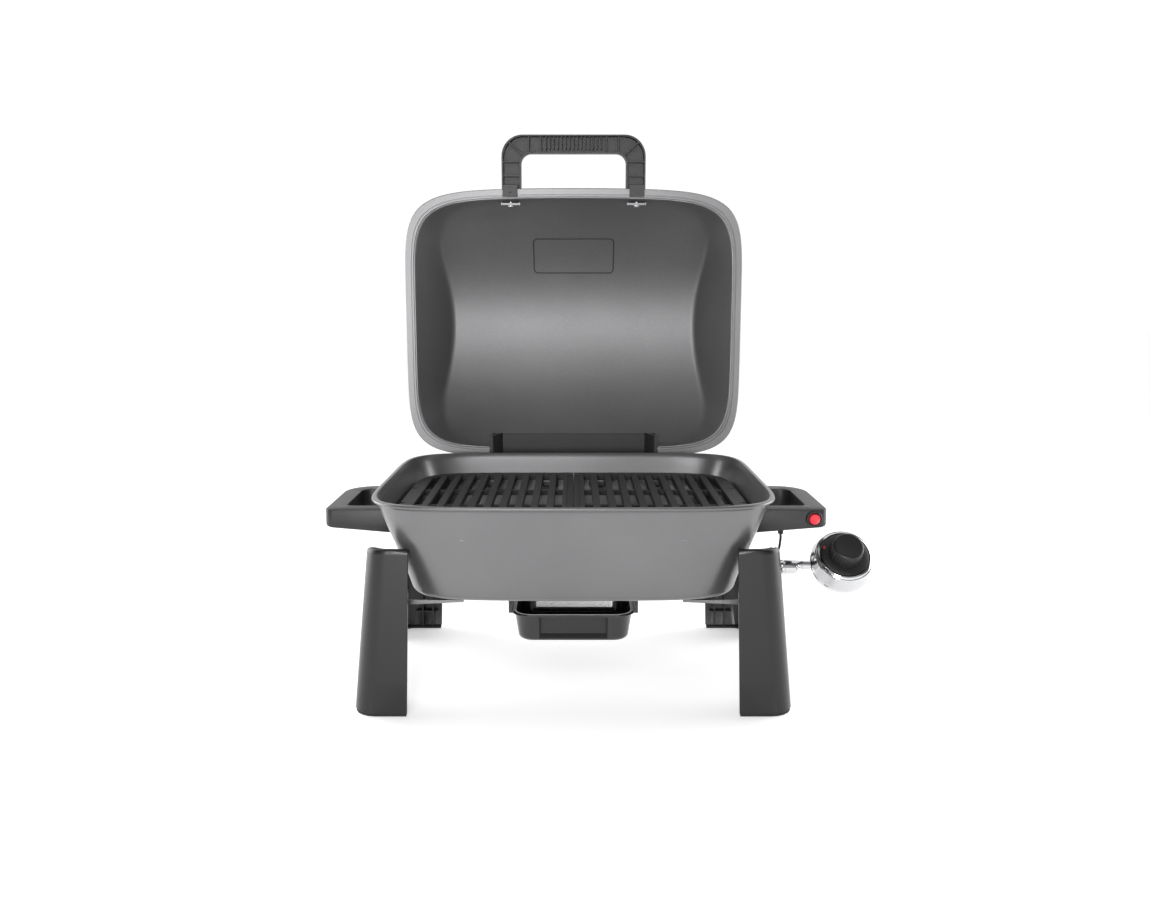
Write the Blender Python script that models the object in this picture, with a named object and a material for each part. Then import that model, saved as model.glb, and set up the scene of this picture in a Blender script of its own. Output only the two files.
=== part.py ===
"""Portable tabletop gas grill, lid open, in metres with +Z up.

The grill is drawn around the firebox: X runs to the right, Y to the back, and the ground is at
z = 0. An empty at the top of the tree then moves the whole grill so that the centre of its box
stands over the origin. The lid is drawn closed and its hinge empty turns it open.
"""
import math

import bmesh
import bpy
from mathutils import Matrix, Vector

MM = 0.001
GAP = 0.3 * MM                       # between touching pieces
OUTLINE_POINTS = 48
ROUNDNESS = 6.4                      # exponent of the firebox and lid outlines
FRONT_BOW = 0.035                    # how much the front edge falls back towards the corners

# Firebox: a cast tub with tapering walls
RIM_HALF_X = 212.5 * MM
RIM_HALF_Y = 168.0 * MM
RIM_Z = 229.0 * MM
WALL = 3.6 * MM                      # measured level
WALL_LOW_X = 168.5 * MM              # outside of the wall above the bottom corner
WALL_LOW_Y = 133.5 * MM
WALL_LOW_Z = 132.0 * MM
WALL_HIGH_X = 207.5 * MM             # outside of the wall below the rim
WALL_HIGH_Y = 163.5 * MM
WALL_HIGH_Z = 222.0 * MM
FLOOR_Z = 118.0 * MM                 # underside of the tub
FLOOR_THICK = 3.5 * MM
DRAIN_RADIUS = 10.0 * MM

# Grates: two cast halves on ledges inside the firebox
GRATE_HALF_X = 192.5 * MM
GRATE_HALF_Y = 142.0 * MM
GRATE_TOP_Z = 207.0 * MM
GRATE_BOTTOM_Z = 199.0 * MM
BAR_PITCH = 17.2 * MM
BAR_WIDTH = 8.0 * MM
BAR_GAPS = 10                        # open gaps between bars in each half
GRATE_EDGE = 8.0 * MM
RIB_HALF = 3.0 * MM                   # the two cross ribs in each half
RIB_Y = 41.0 * MM
RIB_TOP_Z = 204.5 * MM
NOTCH_DEEP = 9.0 * MM                 # V notch in the outer edge at each rib
NOTCH_HALF_WIDE = 3.5 * MM
CENTRE_PLATE_X = 8.2 * MM             # sunk plate along the split
CENTRE_PLATE_Y = 130.0 * MM
CENTRE_PLATE_SINK = 1.2 * MM
LEDGE_CENTRES_X = (30.0 * MM, 105.0 * MM)
LEDGE_WIDTH = 20.0 * MM
LEDGE_INNER_Y = 134.0 * MM
LEDGE_BOTTOM_Z = 190.0 * MM

# Burner, heat plate and gas line
HEAT_PLATE_HALF_X = 130.0 * MM
HEAT_PLATE_HALF_Y = 76.0 * MM
HEAT_PLATE_EDGE_Z = 160.0 * MM
HEAT_PLATE_RIDGE_Z = 184.0 * MM
SHEET = 1.6 * MM
HEAT_SLOT_PITCH = 34.0 * MM
HEAT_SLOT_HALF_X = 11.0 * MM
HEAT_SLOT_HALF_Y = 4.0 * MM
HEAT_SLOT_Y = 38.0 * MM
HEAT_LEG_INSET = 6.0 * MM
HEAT_LEG_Y = 62.0 * MM
HEAT_LEG_LENGTH_Y = 12.0 * MM
HEAT_LEG_FOOT_Z = 124.0 * MM
BURNER_RADIUS = 8.0 * MM
BURNER_Z = 139.0 * MM
BURNER_LANE_Y = 38.0 * MM
BURNER_END_X = 92.0 * MM
BURNER_MOUTH_X = 157.0 * MM
STAND_X = 107.0 * MM
STAND_HALF_X = 5.0 * MM
STAND_HALF_Y = 34.0 * MM
STAND_FOOT_Z = 123.0 * MM
ELECTRODE_RADIUS = 4.0 * MM
ELECTRODE_BODY = 36.0 * MM
ELECTRODE_TIP_RADIUS = 1.2 * MM
ELECTRODE_LENGTH = 62.0 * MM
GAS_PIPE_RADIUS = 5.0 * MM
GAS_PIPE_Z = 137.0 * MM
GAS_PIPE_END_X = 160.0 * MM
ELECTRODE_Y = -58.0 * MM
ELECTRODE_Z = 146.0 * MM
ELECTRODE_OUTER_X = 184.0 * MM

# Lid: drawn closed
LID_HALF_X = 218.0 * MM
LID_HALF_Y = 173.5 * MM
LID_BOTTOM_Z = RIM_Z + 0.5 * MM
LID_FLANGE_THICK = 3.0 * MM
LID_FLANGE_WIDTH = 7.5 * MM          # beyond the outside of the wall
LID_WALL = 3.4 * MM
LID_HEIGHT = 100.0 * MM
LID_SHOULDER = 40.0 * MM             # height where the vault meets the front and rear slopes
LID_SHOULDER_AT = 0.82               # share of the half depth where it does
LID_WALL_SLOPE = 3.3
LID_SIDE_SLOPE = 2.2
LID_END_SLOPE = 1.45                 # front and rear
LID_SLOPE_FOOT = 4.0 * MM
LID_BLEND = 4.0 * MM
LID_RING_SCALES = (0.985, 0.96, 0.93, 0.89, 0.83, 0.75, 0.64, 0.5, 0.34, 0.17)
HOOD_HALF_LOW = 112.0 * MM           # exhaust hood at the lid's rear
HOOD_HALF_HIGH = 99.0 * MM
HOOD_HEIGHT = 32.0 * MM
HOOD_REAR_Y = 188.0 * MM
HOOD_INNER_Y = 146.0 * MM
HOOD_WALL = 3.0 * MM
HINGE_Y = 175.25 * MM
HINGE_Z = 219.25 * MM
HINGE_X = 145.0 * MM
HINGE_PIN_RADIUS = 2.4 * MM
KNUCKLE_HALF = 5.0 * MM
LUG_ROOT_Y = 167.5 * MM
LUG_NECK_Y = 174.4 * MM
BRACKET_LOW_Z = 205.0 * MM
BRACKET_TOP_Z = 225.0 * MM
LID_OPEN_ANGLE = math.radians(90.0)

# Lid handle, drawn with the lid closed
HANDLE_HALF_X = 92.0 * MM
HANDLE_FRONT_Y = -240.0 * MM
HANDLE_LEG = 25.0 * MM
HANDLE_GRIP = 23.0 * MM
HANDLE_THICK = 22.0 * MM
HANDLE_CORNER = 26.0 * MM
HANDLE_FOOT_X = 81.0 * MM
HANDLE_FOOT_HALF = 9.7 * MM
NOTCH_HALF = 10.3 * MM
FOOT_BACK_Y = -162.0 * MM
HANDLE_RAISE = 4.0 * MM              # above the lid's bottom edge
HANDLE_END_SLANT = 10.5 * MM
HANDLE_SCREW_RADIUS = 2.0 * MM
HANDLE_SCREW_HEAD = 3.8 * MM
HANDLE_SCREW_LENGTH = 24.0 * MM
HANDLE_SCREW_Y = -150.4 * MM
HANDLE_SCREW_Z = 241.0 * MM
SCREW_HEAD_THICK = 2.2 * MM

# Side handles
SIDE_TOP_Z = 205.0 * MM
SIDE_OUTER_X = (271.0 * MM, 277.0 * MM)      # left, right
SIDE_HALF_Y = 66.0 * MM
SIDE_BAND = 20.0 * MM
SIDE_ROOT_BAR = 8.0 * MM
SIDE_BOTTOM_ROOT_Z = 178.0 * MM
SIDE_BOTTOM_TIP_Z = 185.0 * MM
SCREW_Y = 56.0 * MM
SCREW_Z = 193.0 * MM
SCREW_RADIUS = 2.2 * MM
SCREW_HEAD_RADIUS = 4.0 * MM
SCREW_LENGTH = 16.0 * MM
GUSSET_LOW_Z = 158.0 * MM            # webs from the side handles down the firebox wall
GUSSET_OUTER_X = 214.0 * MM
GUSSET_ROOT = 7.0 * MM
GUSSET_TOP_Z = 181.0 * MM
GUSSET_Y = (48.0 * MM, 63.0 * MM)

# Igniter in the right handle
BUTTON_X = 262.0 * MM
BUTTON_Z = 194.5 * MM
BUTTON_RADIUS = 6.0 * MM
BUTTON_PROUD = 5.0 * MM
BUTTON_LENGTH = 11.0 * MM
BEZEL_RADIUS = 8.8 * MM
BEZEL_THICK = 2.5 * MM
BUTTON_HOLE_DEPTH = 18.0 * MM
GLAND_X = 228.0 * MM
GLAND_Y = -56.0 * MM
WIRE_RADIUS = 1.3 * MM

# Legs: four folding corner shells
LEG_PIVOT_X = 188.0 * MM
LEG_PIVOT_Z = 112.0 * MM
LEG_TOP_Z = 179.5 * MM
LEG_TOP_FALL = 0.45                  # slope of the top edge behind the round corner
LEG_TOP_FALL_Y = 118.0 * MM
LEG_FRONT_Y = 141.5 * MM
LEG_REAR_Y = 94.0 * MM
LEG_INNER_TOP_X = 168.0 * MM
LEG_OUTER_TOP_X = 214.0 * MM
LEG_INNER_FOOT_X = 174.0 * MM
LEG_OUTER_FOOT_X = 232.0 * MM
LEG_SKIN = 2.8 * MM
LEG_LIP = 5.0 * MM
LEG_CORNER = 24.0 * MM
LEG_RIB_OUTER_X = 219.2 * MM
LEG_RIB_HALF_Z = 11.0 * MM
LEG_RIB_INNER = 7.0 * MM              # from the pivot towards the firebox
LEG_RIB_GAP = 2.5 * MM                # either side of the bracket's ear
LEG_PIN_HALF = 9.0 * MM
PAD_TOP_Z = 3.0 * MM
EAR_INNER_Y = 110.0 * MM
EAR_THICK = 2.5 * MM
LEG_PIN_RADIUS = 3.0 * MM
ARM_ROOT_X = 118.0 * MM              # leg bracket
ARM_BEND_X = 162.0 * MM
ARM_THIN = 2.5 * MM
EYE_RADIUS = 7.0 * MM
FLANGE_LONG = 22.0 * MM
FLANGE_WIDE = 28.0 * MM

# Grease tray under the drain
TRAY_HALF_X = 65.5 * MM
TRAY_FRONT_Y = -75.0 * MM
TRAY_REAR_Y = 35.0 * MM
TRAY_BOTTOM_Z = 62.0 * MM
TRAY_RIM_Z = 92.0 * MM
TRAY_DRAFT = 4.0 * MM
TRAY_WALL = 1.8 * MM
TRAY_FLANGE = 3.0 * MM
RAIL_FRONT_Y = -66.0 * MM
RAIL_REAR_Y = 40.0 * MM
RAIL_THICK = 2.2 * MM
RAIL_FLANGE = 12.0 * MM
TRAY_CORNER = 20.0 * MM
TRAY_LIP = 1.6 * MM

# Regulator, on an axis that leans back
REGULATOR_CENTRE = Vector((309.0, -11.0, 130.0)) * MM
REGULATOR_TILT = math.radians(45.0)  # from straight up towards the front
KNOB_SEAT = 16.4 * MM                # along the regulator's axis
NOZZLE_Z = 124.8 * MM
NOZZLE_RADIUS = 8.1 * MM
NOZZLE_START_X = 272.3 * MM
NOZZLE_END_X = 236.0 * MM
NECK_RADIUS = 5.2 * MM
NECK_Z = 127.2 * MM
NECK_END_X = 258.5 * MM


# ---------------------------------------------------------------- scene and materials

def clear_scene():
    for old in list(bpy.data.objects):
        bpy.data.objects.remove(old, do_unlink=True)


def make_material(name, colour, roughness, metallic):
    material = bpy.data.materials.new(name)
    material.use_nodes = True
    shader = material.node_tree.nodes["Principled BSDF"]
    shader.inputs["Base Color"].default_value = (*colour, 1.0)
    shader.inputs["Roughness"].default_value = roughness
    shader.inputs["Metallic"].default_value = metallic
    material.diffuse_color = (*colour, 1.0)
    return material


def make_empty(name, parent=None, location=(0.0, 0.0, 0.0), rotation=(0.0, 0.0, 0.0)):
    empty = bpy.data.objects.new(name, None)
    bpy.context.scene.collection.objects.link(empty)
    empty.parent = parent
    empty.location = location
    empty.rotation_euler = rotation
    return empty


def add_mesh(name, mesh_data, material, parent, origin=(0.0, 0.0, 0.0), smooth=30.0):
    """Add a piece whose shape is drawn in grill coordinates; origin is its parent's place there."""
    mesh = bpy.data.meshes.new(name)
    bmesh.ops.translate(mesh_data, verts=mesh_data.verts, vec=-Vector(origin))
    bmesh.ops.recalc_face_normals(mesh_data, faces=mesh_data.faces)
    mesh_data.to_mesh(mesh)
    mesh_data.free()
    mesh.shade_smooth()
    mesh.set_sharp_from_angle(angle=math.radians(smooth))
    mesh.materials.append(material)
    piece = bpy.data.objects.new(name, mesh)
    bpy.context.scene.collection.objects.link(piece)
    piece.parent = parent
    return piece


def combine(piece, tool_data, operation, origin=(0.0, 0.0, 0.0)):
    """Cut a shape out of a piece, or weld it on, with a hidden tool."""
    tool = add_mesh(piece.name + "_tool", tool_data, piece.data.materials[0], piece, origin)
    tool.hide_render = True
    tool.display_type = "WIRE"
    modifier = piece.modifiers.new(operation.title(), "BOOLEAN")
    modifier.operation = operation
    modifier.object = tool
    modifier.solver = "EXACT"
    return tool


# ---------------------------------------------------------------- shapes

def superellipse(half_x, half_y, power, z, bow=FRONT_BOW, count=OUTLINE_POINTS):
    """Rounded outline whose front edge (negative Y) is bowed."""
    points = []
    for index in range(count):
        angle = 2.0 * math.pi * index / count
        cosine, sine = math.cos(angle), math.sin(angle)
        x = math.copysign(abs(cosine) ** (2.0 / power), cosine) * half_x
        y = math.copysign(abs(sine) ** (2.0 / power), sine) * half_y
        if y < 0.0:
            y *= 1.0 - bow * (x / half_x) ** 2
        points.append(Vector((x, y, z)))
    return points


def rounded_rectangle(low, high, radii, z, steps=4):
    """Outline with corner radii in the order low-low, high-low, high-high, low-high."""
    corners = ((low[0], low[1], 1, 1, 180), (high[0], low[1], -1, 1, 270),
               (high[0], high[1], -1, -1, 0), (low[0], high[1], 1, -1, 90))
    points = []
    for (x, y, side_x, side_y, start), radius in zip(corners, radii):
        for step in range(steps + 1):
            angle = math.radians(start + 90.0 * step / steps)
            points.append(Vector((x + side_x * radius + radius * math.cos(angle),
                                  y + side_y * radius + radius * math.sin(angle), z)))
    return points


def loft(rings, ring_closes=True, stack_closes=False):
    """Skin a stack of rings; the ends are capped unless the stack closes on itself."""
    data = bmesh.new()
    rows = [[data.verts.new(point) for point in ring] for ring in rings]
    pairs = list(zip(rows, rows[1:]))
    if stack_closes:
        pairs.append((rows[-1], rows[0]))
    count = len(rows[0])
    for lower, upper in pairs:
        for index in range(count if ring_closes else count - 1):
            after = (index + 1) % count
            data.faces.new((lower[index], lower[after], upper[after], upper[index]))
    if not stack_closes:
        data.faces.new(rows[0])
        data.faces.new(rows[-1])
    return data


def prism(outline, axis, low, high):
    """Push a flat outline along an axis. It holds the other two coordinates in X, Y, Z order."""
    def place(pair, depth):
        values = list(pair)
        values.insert("XYZ".index(axis), depth)
        return Vector(values)
    return loft([[place(pair, low) for pair in outline], [place(pair, high) for pair in outline]])


def box(low, high):
    return prism([(low[0], low[1]), (high[0], low[1]), (high[0], high[1]), (low[0], high[1])],
                 "Z", low[2], high[2])


def turned(profile, segments=24):
    """Turn a closed half profile of (radius, height) pairs about Z; radius 0 lies on the axis."""
    data = bmesh.new()
    rows = []
    for radius, height in profile:
        if radius == 0.0:
            rows.append([data.verts.new((0.0, 0.0, height))] * segments)
            continue
        rows.append([data.verts.new((radius * math.cos(2.0 * math.pi * step / segments),
                                     radius * math.sin(2.0 * math.pi * step / segments), height))
                     for step in range(segments)])
    on_axis = profile[0][0] == 0.0
    pairs = list(zip(rows, rows[1:]))
    if not on_axis:
        pairs.append((rows[-1], rows[0]))
    for lower, upper in pairs:
        for step in range(segments):
            after = (step + 1) % segments
            corners = []
            for vert in (lower[step], lower[after], upper[after], upper[step]):
                if vert not in corners:
                    corners.append(vert)
            if len(corners) > 2:
                data.faces.new(corners)
    return data


def rod(radius, length, segments=16):
    return turned([(0.0, 0.0), (radius, 0.0), (radius, length), (0.0, length)], segments)


AXIS_TURNS = {
    "+X": Matrix.Rotation(math.radians(90.0), 4, "Y"),
    "-X": Matrix.Rotation(math.radians(-90.0), 4, "Y"),
    "+Y": Matrix.Rotation(math.radians(-90.0), 4, "X"),
    "-Y": Matrix.Rotation(math.radians(90.0), 4, "X"),
    "+Z": Matrix.Identity(4),
}


def aim(data, axis, place):
    """Turn a shape's Z axis to a world axis and move it to a place."""
    matrix = Matrix.Translation(place) @ AXIS_TURNS[axis]
    bmesh.ops.transform(data, matrix=matrix, verts=data.verts)
    return data


def gather(parts):
    """Put several loose shapes into one, for use as a tool."""
    whole = bmesh.new()
    for part in parts:
        mesh = bpy.data.meshes.new("loose")
        bmesh.ops.recalc_face_normals(part, faces=part.faces)
        part.to_mesh(mesh)
        part.free()
        whole.from_mesh(mesh)
        bpy.data.meshes.remove(mesh)
    return whole


def smooth_route(stops, count):
    """Points on a smooth curve (Catmull-Rom) through the stops."""
    stops = [Vector(stop) for stop in stops]
    padded = [2 * stops[0] - stops[1]] + stops + [2 * stops[-1] - stops[-2]]
    points = []
    spans = len(stops) - 1
    for index in range(count + 1):
        along = index / count * spans
        span = min(int(along), spans - 1)
        t = along - span
        before, start, end, after = padded[span:span + 4]
        points.append(0.5 * (2 * start + (end - before) * t
                             + (2 * before - 5 * start + 4 * end - after) * t * t
                             + (3 * start - 3 * end + after - before) * t ** 3))
    return points


def add_pipe(name, points, radius, material, parent):
    curve = bpy.data.curves.new(name, "CURVE")
    curve.dimensions = "3D"
    curve.bevel_depth = radius
    curve.bevel_resolution = 2
    curve.use_fill_caps = True
    spline = curve.splines.new("POLY")
    spline.points.add(len(points) - 1)
    for slot, point in zip(spline.points, points):
        slot.co = (*point, 1.0)
    curve.materials.append(material)
    pipe = bpy.data.objects.new(name, curve)
    bpy.context.scene.collection.objects.link(pipe)
    pipe.parent = parent
    return pipe


# ---------------------------------------------------------------- firebox

def between(z, low, high):
    """Straight-line value of the firebox wall at a height."""
    return low + (high - low) * (z - WALL_LOW_Z) / (WALL_HIGH_Z - WALL_LOW_Z)


def wall_x(z):
    return between(z, WALL_LOW_X, WALL_HIGH_X)


def wall_y(z):
    return between(z, WALL_LOW_Y, WALL_HIGH_Y)


def firebox_rings():
    low_x, low_y = WALL_LOW_X, WALL_LOW_Y
    floor_top = FLOOR_Z + FLOOR_THICK
    outside = [
        (DRAIN_RADIUS + 3 * MM, DRAIN_RADIUS + 3 * MM, 2.0, FLOOR_Z - 2 * MM),
        (60 * MM, 45 * MM, 3.0, FLOOR_Z),
        (low_x - 32 * MM, low_y - 32 * MM, 5.0, FLOOR_Z + 0.5 * MM),
        (low_x - 12 * MM, low_y - 12 * MM, ROUNDNESS, FLOOR_Z + 3 * MM),
        (low_x - 4 * MM, low_y - 4 * MM, ROUNDNESS, FLOOR_Z + 8 * MM),
        (low_x, low_y, ROUNDNESS, WALL_LOW_Z),
        (WALL_HIGH_X, WALL_HIGH_Y, ROUNDNESS, WALL_HIGH_Z),
        (WALL_HIGH_X + 1.5 * MM, WALL_HIGH_Y + 1.3 * MM, ROUNDNESS, RIM_Z - 4 * MM),
        (RIM_HALF_X, RIM_HALF_Y, ROUNDNESS, RIM_Z - 2.5 * MM),
        (RIM_HALF_X, RIM_HALF_Y, ROUNDNESS, RIM_Z),
    ]
    inside = [
        (WALL_HIGH_X - 1 * MM, WALL_HIGH_Y - 1 * MM, ROUNDNESS, RIM_Z),
        (WALL_HIGH_X - WALL, WALL_HIGH_Y - WALL, ROUNDNESS, WALL_HIGH_Z),
        (low_x - WALL, low_y - WALL, ROUNDNESS, WALL_LOW_Z),
        (low_x - 8.5 * MM, low_y - 8.5 * MM, ROUNDNESS, FLOOR_Z + 9 * MM),
        (low_x - 18 * MM, low_y - 18 * MM, ROUNDNESS, FLOOR_Z + 5.5 * MM),
        (low_x - 36 * MM, low_y - 36 * MM, 5.0, floor_top + 0.5 * MM),
        (60 * MM, 45 * MM, 3.0, floor_top - 0.5 * MM),
        (DRAIN_RADIUS, DRAIN_RADIUS, 2.0, floor_top - 2 * MM),
    ]
    return [superellipse(*ring) for ring in outside + inside]


def grate_ledges():
    """Cast ledges along the front and back walls that the grates rest on."""
    top = GRATE_BOTTOM_Z - GAP
    inset = WALL * 0.6
    shapes = []
    for side in (-1, 1):
        outline = [(side * LEDGE_INNER_Y, LEDGE_BOTTOM_Z),
                   (side * (wall_y(LEDGE_BOTTOM_Z) - inset), LEDGE_BOTTOM_Z),
                   (side * (wall_y(top) - inset), top),
                   (side * LEDGE_INNER_Y, top)]
        for centre in LEDGE_CENTRES_X:
            for mirror in (-1, 1):
                middle = mirror * centre
                shapes.append(prism(outline, "X", middle - LEDGE_WIDTH / 2, middle + LEDGE_WIDTH / 2))
    return gather(shapes)


def wall_holes():
    """Holes for the gas pipe, the electrode and the side handles' screws."""
    clear = 0.4 * MM
    reach = 30 * MM
    start = WALL_LOW_X - 15 * MM
    shapes = [aim(rod(GAS_PIPE_RADIUS + clear, reach), "+X", (start, 0, GAS_PIPE_Z)),
              aim(rod(4 * MM + clear, reach), "+X", (start, ELECTRODE_Y, ELECTRODE_Z))]
    for side in (-1, 1):
        for y in (-SCREW_Y, SCREW_Y):
            axis = "+X" if side > 0 else "-X"
            place = (side * (wall_x(SCREW_Z) - 15 * MM), y, SCREW_Z)
            shapes.append(aim(rod(SCREW_RADIUS + clear, reach, 12), axis, place))
    return gather(shapes)


def make_firebox(root, materials):
    firebox = add_mesh("firebox", loft(firebox_rings(), stack_closes=True), materials["cast"], root)
    combine(firebox, grate_ledges(), "UNION")
    combine(firebox, wall_holes(), "DIFFERENCE")


# ---------------------------------------------------------------- grates

def frame_y(x, inset):
    """Half depth of the grate outline at x, moved inward by an inset."""
    half_x, half_y = GRATE_HALF_X - inset, GRATE_HALF_Y - inset
    share = min(abs(x) / half_x, 1.0)
    return half_y * (1.0 - share ** ROUNDNESS) ** (1.0 / ROUNDNESS)


def grate_outline(side):
    """Half of the grate, flat along the centre line."""
    full = superellipse(GRATE_HALF_X, GRATE_HALF_Y, ROUNDNESS, 0.0, 0.0)
    middle = 0.6 * MM
    half = [point for point in full if point.x > middle]
    half.sort(key=lambda point: math.atan2(point.y, point.x))
    points = [(middle, -GRATE_HALF_Y)] + [(point.x, point.y) for point in half]
    points.append((middle, GRATE_HALF_Y))
    return [(side * x, y) for x, y in points]


def gap_edges():
    """Left and right edges of each open gap between bars."""
    first = BAR_PITCH / 2 + BAR_WIDTH / 2
    edges = [(first + step * BAR_PITCH, first + step * BAR_PITCH + BAR_PITCH - BAR_WIDTH)
             for step in range(BAR_GAPS)]
    last = edges[-1][1] + BAR_WIDTH
    edges.append((last, GRATE_HALF_X - GRATE_EDGE))
    return [(low, high) for low, high in edges if high - low > 2 * MM]


def grate_slots(side):
    """Open gaps between the bars, in three lengths between the cross ribs."""
    below, above = GRATE_BOTTOM_Z - 2 * MM, GRATE_TOP_Z + 2 * MM
    shapes = []
    for low, high in gap_edges():
        near, far = frame_y(low, GRATE_EDGE), frame_y(high - 0.5 * MM, GRATE_EDGE)
        for front in (-1, 1):
            start = front * (RIB_Y + RIB_HALF)
            outline = [(side * low, start), (side * high, start),
                       (side * high, front * far), (side * low, front * near)]
            shapes.append(prism(outline, "Z", below, above))
        reach = RIB_Y - RIB_HALF
        shapes.append(box((side * low, -reach, below), (side * high, reach, above)))
    return gather(shapes)


def grate_recesses(side):
    """Low tops of the cross ribs, the sunk centre plate and the notches in the outer edge."""
    above = GRATE_TOP_Z + 2 * MM
    shapes = []
    for low, high in gap_edges():
        for front in (-1, 1):
            middle = front * RIB_Y
            shapes.append(box((side * low, middle - RIB_HALF - 1 * MM, RIB_TOP_Z),
                              (side * high, middle + RIB_HALF + 1 * MM, above)))
    sunk = GRATE_TOP_Z - CENTRE_PLATE_SINK
    shapes.append(box((-side * 1 * MM, -CENTRE_PLATE_Y, sunk),
                      (side * CENTRE_PLATE_X, CENTRE_PLATE_Y, above)))
    return gather(shapes)


def grate_notches(side):
    shapes = []
    outer = GRATE_HALF_X + 1 * MM
    for middle in (-RIB_Y, RIB_Y):
        outline = [(side * outer, middle - NOTCH_HALF_WIDE), (side * outer, middle + NOTCH_HALF_WIDE),
                   (side * (outer - NOTCH_DEEP), middle)]
        shapes.append(prism(outline, "Z", GRATE_BOTTOM_Z - 2 * MM, GRATE_TOP_Z + 2 * MM))
    return gather(shapes)


def make_grates(root, materials):
    for side, name in ((-1, "left"), (1, "right")):
        plate = prism(grate_outline(side), "Z", GRATE_BOTTOM_Z, GRATE_TOP_Z)
        grate = add_mesh(name + "_grate", plate, materials["iron"], root)
        combine(grate, grate_slots(side), "DIFFERENCE")
        combine(grate, grate_recesses(side), "DIFFERENCE")
        combine(grate, grate_notches(side), "DIFFERENCE")


# ---------------------------------------------------------------- burner, gas and ignition inside

def make_heat_plate(root, materials):
    half_y, low, high = HEAT_PLATE_HALF_Y, HEAT_PLATE_EDGE_Z, HEAT_PLATE_RIDGE_Z
    tent = [(-half_y, low), (0.0, high), (half_y, low),
            (half_y, low + SHEET), (0.0, high + SHEET), (-half_y, low + SHEET)]
    plate = add_mesh("heat_plate", prism(tent, "X", -HEAT_PLATE_HALF_X, HEAT_PLATE_HALF_X),
                     materials["steel"], root)
    slots, legs = [], []
    for side in (-1, 1):
        y = side * HEAT_SLOT_Y
        for column in range(-3, 4):
            x = column * HEAT_SLOT_PITCH
            slots.append(box((x - HEAT_SLOT_HALF_X, y - HEAT_SLOT_HALF_Y, low),
                             (x + HEAT_SLOT_HALF_X, y + HEAT_SLOT_HALF_Y, high)))
        y0, y1 = sorted((side * HEAT_LEG_Y, side * (HEAT_LEG_Y + HEAT_LEG_LENGTH_Y)))
        for end in (-1, 1):
            x0, x1 = sorted((end * (HEAT_PLATE_HALF_X - HEAT_LEG_INSET),
                             end * (HEAT_PLATE_HALF_X - 1 * MM)))
            legs.append(box((x0, y0, HEAT_LEG_FOOT_Z), (x1, y1, low + 1 * MM)))
    combine(plate, gather(slots), "DIFFERENCE")
    combine(plate, gather(legs), "UNION")


def burner_route():
    """A loop: in from the mouth, left along one side, round and back along the other."""
    lane, end, z = BURNER_LANE_Y, BURNER_END_X, BURNER_Z
    points = smooth_route([(BURNER_MOUTH_X, 0, GAS_PIPE_Z), (134 * MM, 0, z), (112 * MM, -14 * MM, z),
                           (88 * MM, -lane, z)], 9)
    for step in range(9):
        angle = math.radians(-90.0 - 180.0 * step / 8)
        points.append(Vector((-end + lane * math.cos(angle), lane * math.sin(angle), z)))
    points.append(Vector((end, lane, z)))
    return points


def make_burner(root, materials):
    add_pipe("burner_tube", burner_route(), BURNER_RADIUS, materials["steel"], root)
    top = BURNER_Z - BURNER_RADIUS - GAP
    stand = box((-STAND_X - STAND_HALF_X, -STAND_HALF_Y, STAND_FOOT_Z),
                (-STAND_X + STAND_HALF_X, STAND_HALF_Y, top))
    add_mesh("burner_stand", stand, materials["steel"], root)
    radius, tip = ELECTRODE_RADIUS, ELECTRODE_TIP_RADIUS
    ceramic = turned([(0, 0), (radius, 0), (radius, ELECTRODE_BODY), (radius / 2, ELECTRODE_BODY + 3 * MM),
                      (tip, ELECTRODE_BODY + 3 * MM), (tip, ELECTRODE_LENGTH), (0, ELECTRODE_LENGTH)], 14)
    add_mesh("igniter_electrode", aim(ceramic, "-X", (ELECTRODE_OUTER_X, ELECTRODE_Y, ELECTRODE_Z)),
             materials["ceramic"], root)


# ---------------------------------------------------------------- lid

def soft_minimum(values):
    total = sum(math.exp(-value / LID_BLEND) for value in values)
    return -LID_BLEND * math.log(total)


def lid_height(x, y, inward, half_x, half_y):
    """Height of the dome above its base: a vault front to back between four slanted sides."""
    vault = LID_HEIGHT - (LID_HEIGHT - LID_SHOULDER) * (y / (half_y * LID_SHOULDER_AT)) ** 2
    sides = (half_x - abs(x)) * LID_SIDE_SLOPE + LID_SLOPE_FOOT
    ends = (half_y - abs(y)) * LID_END_SLOPE + LID_SLOPE_FOOT
    return soft_minimum((vault, inward * LID_WALL_SLOPE, sides, ends))


def dome_rings(half_x, half_y, base_z, drop):
    rings = []
    for scale in LID_RING_SCALES:
        inward = (1.0 - scale) * half_y
        ring = superellipse(half_x * scale, half_y * scale, ROUNDNESS, 0.0)
        for point in ring:
            height = lid_height(point.x, point.y, inward, half_x, half_y)
            point.z = base_z + max(height - drop, 1.0 * MM * inward / half_y)
        rings.append(ring)
    return rings


def lid_rings():
    """From the crown down the outside, under the flange, and up the inside to the crown."""
    half_x, half_y = LID_HALF_X - LID_FLANGE_WIDTH, LID_HALF_Y - LID_FLANGE_WIDTH
    top = LID_BOTTOM_Z + LID_FLANGE_THICK
    outside = dome_rings(half_x, half_y, top, 0.0)[::-1]
    inner_x, inner_y = half_x - LID_WALL, half_y - LID_WALL
    inside = dome_rings(inner_x, inner_y, top, LID_WALL * 0.9)
    flange = [superellipse(half_x, half_y, ROUNDNESS, top),
              superellipse(LID_HALF_X, LID_HALF_Y, ROUNDNESS, top),
              superellipse(LID_HALF_X, LID_HALF_Y, ROUNDNESS, LID_BOTTOM_Z),
              superellipse(inner_x, inner_y, ROUNDNESS, LID_BOTTOM_Z)]
    return outside + flange + inside


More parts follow.
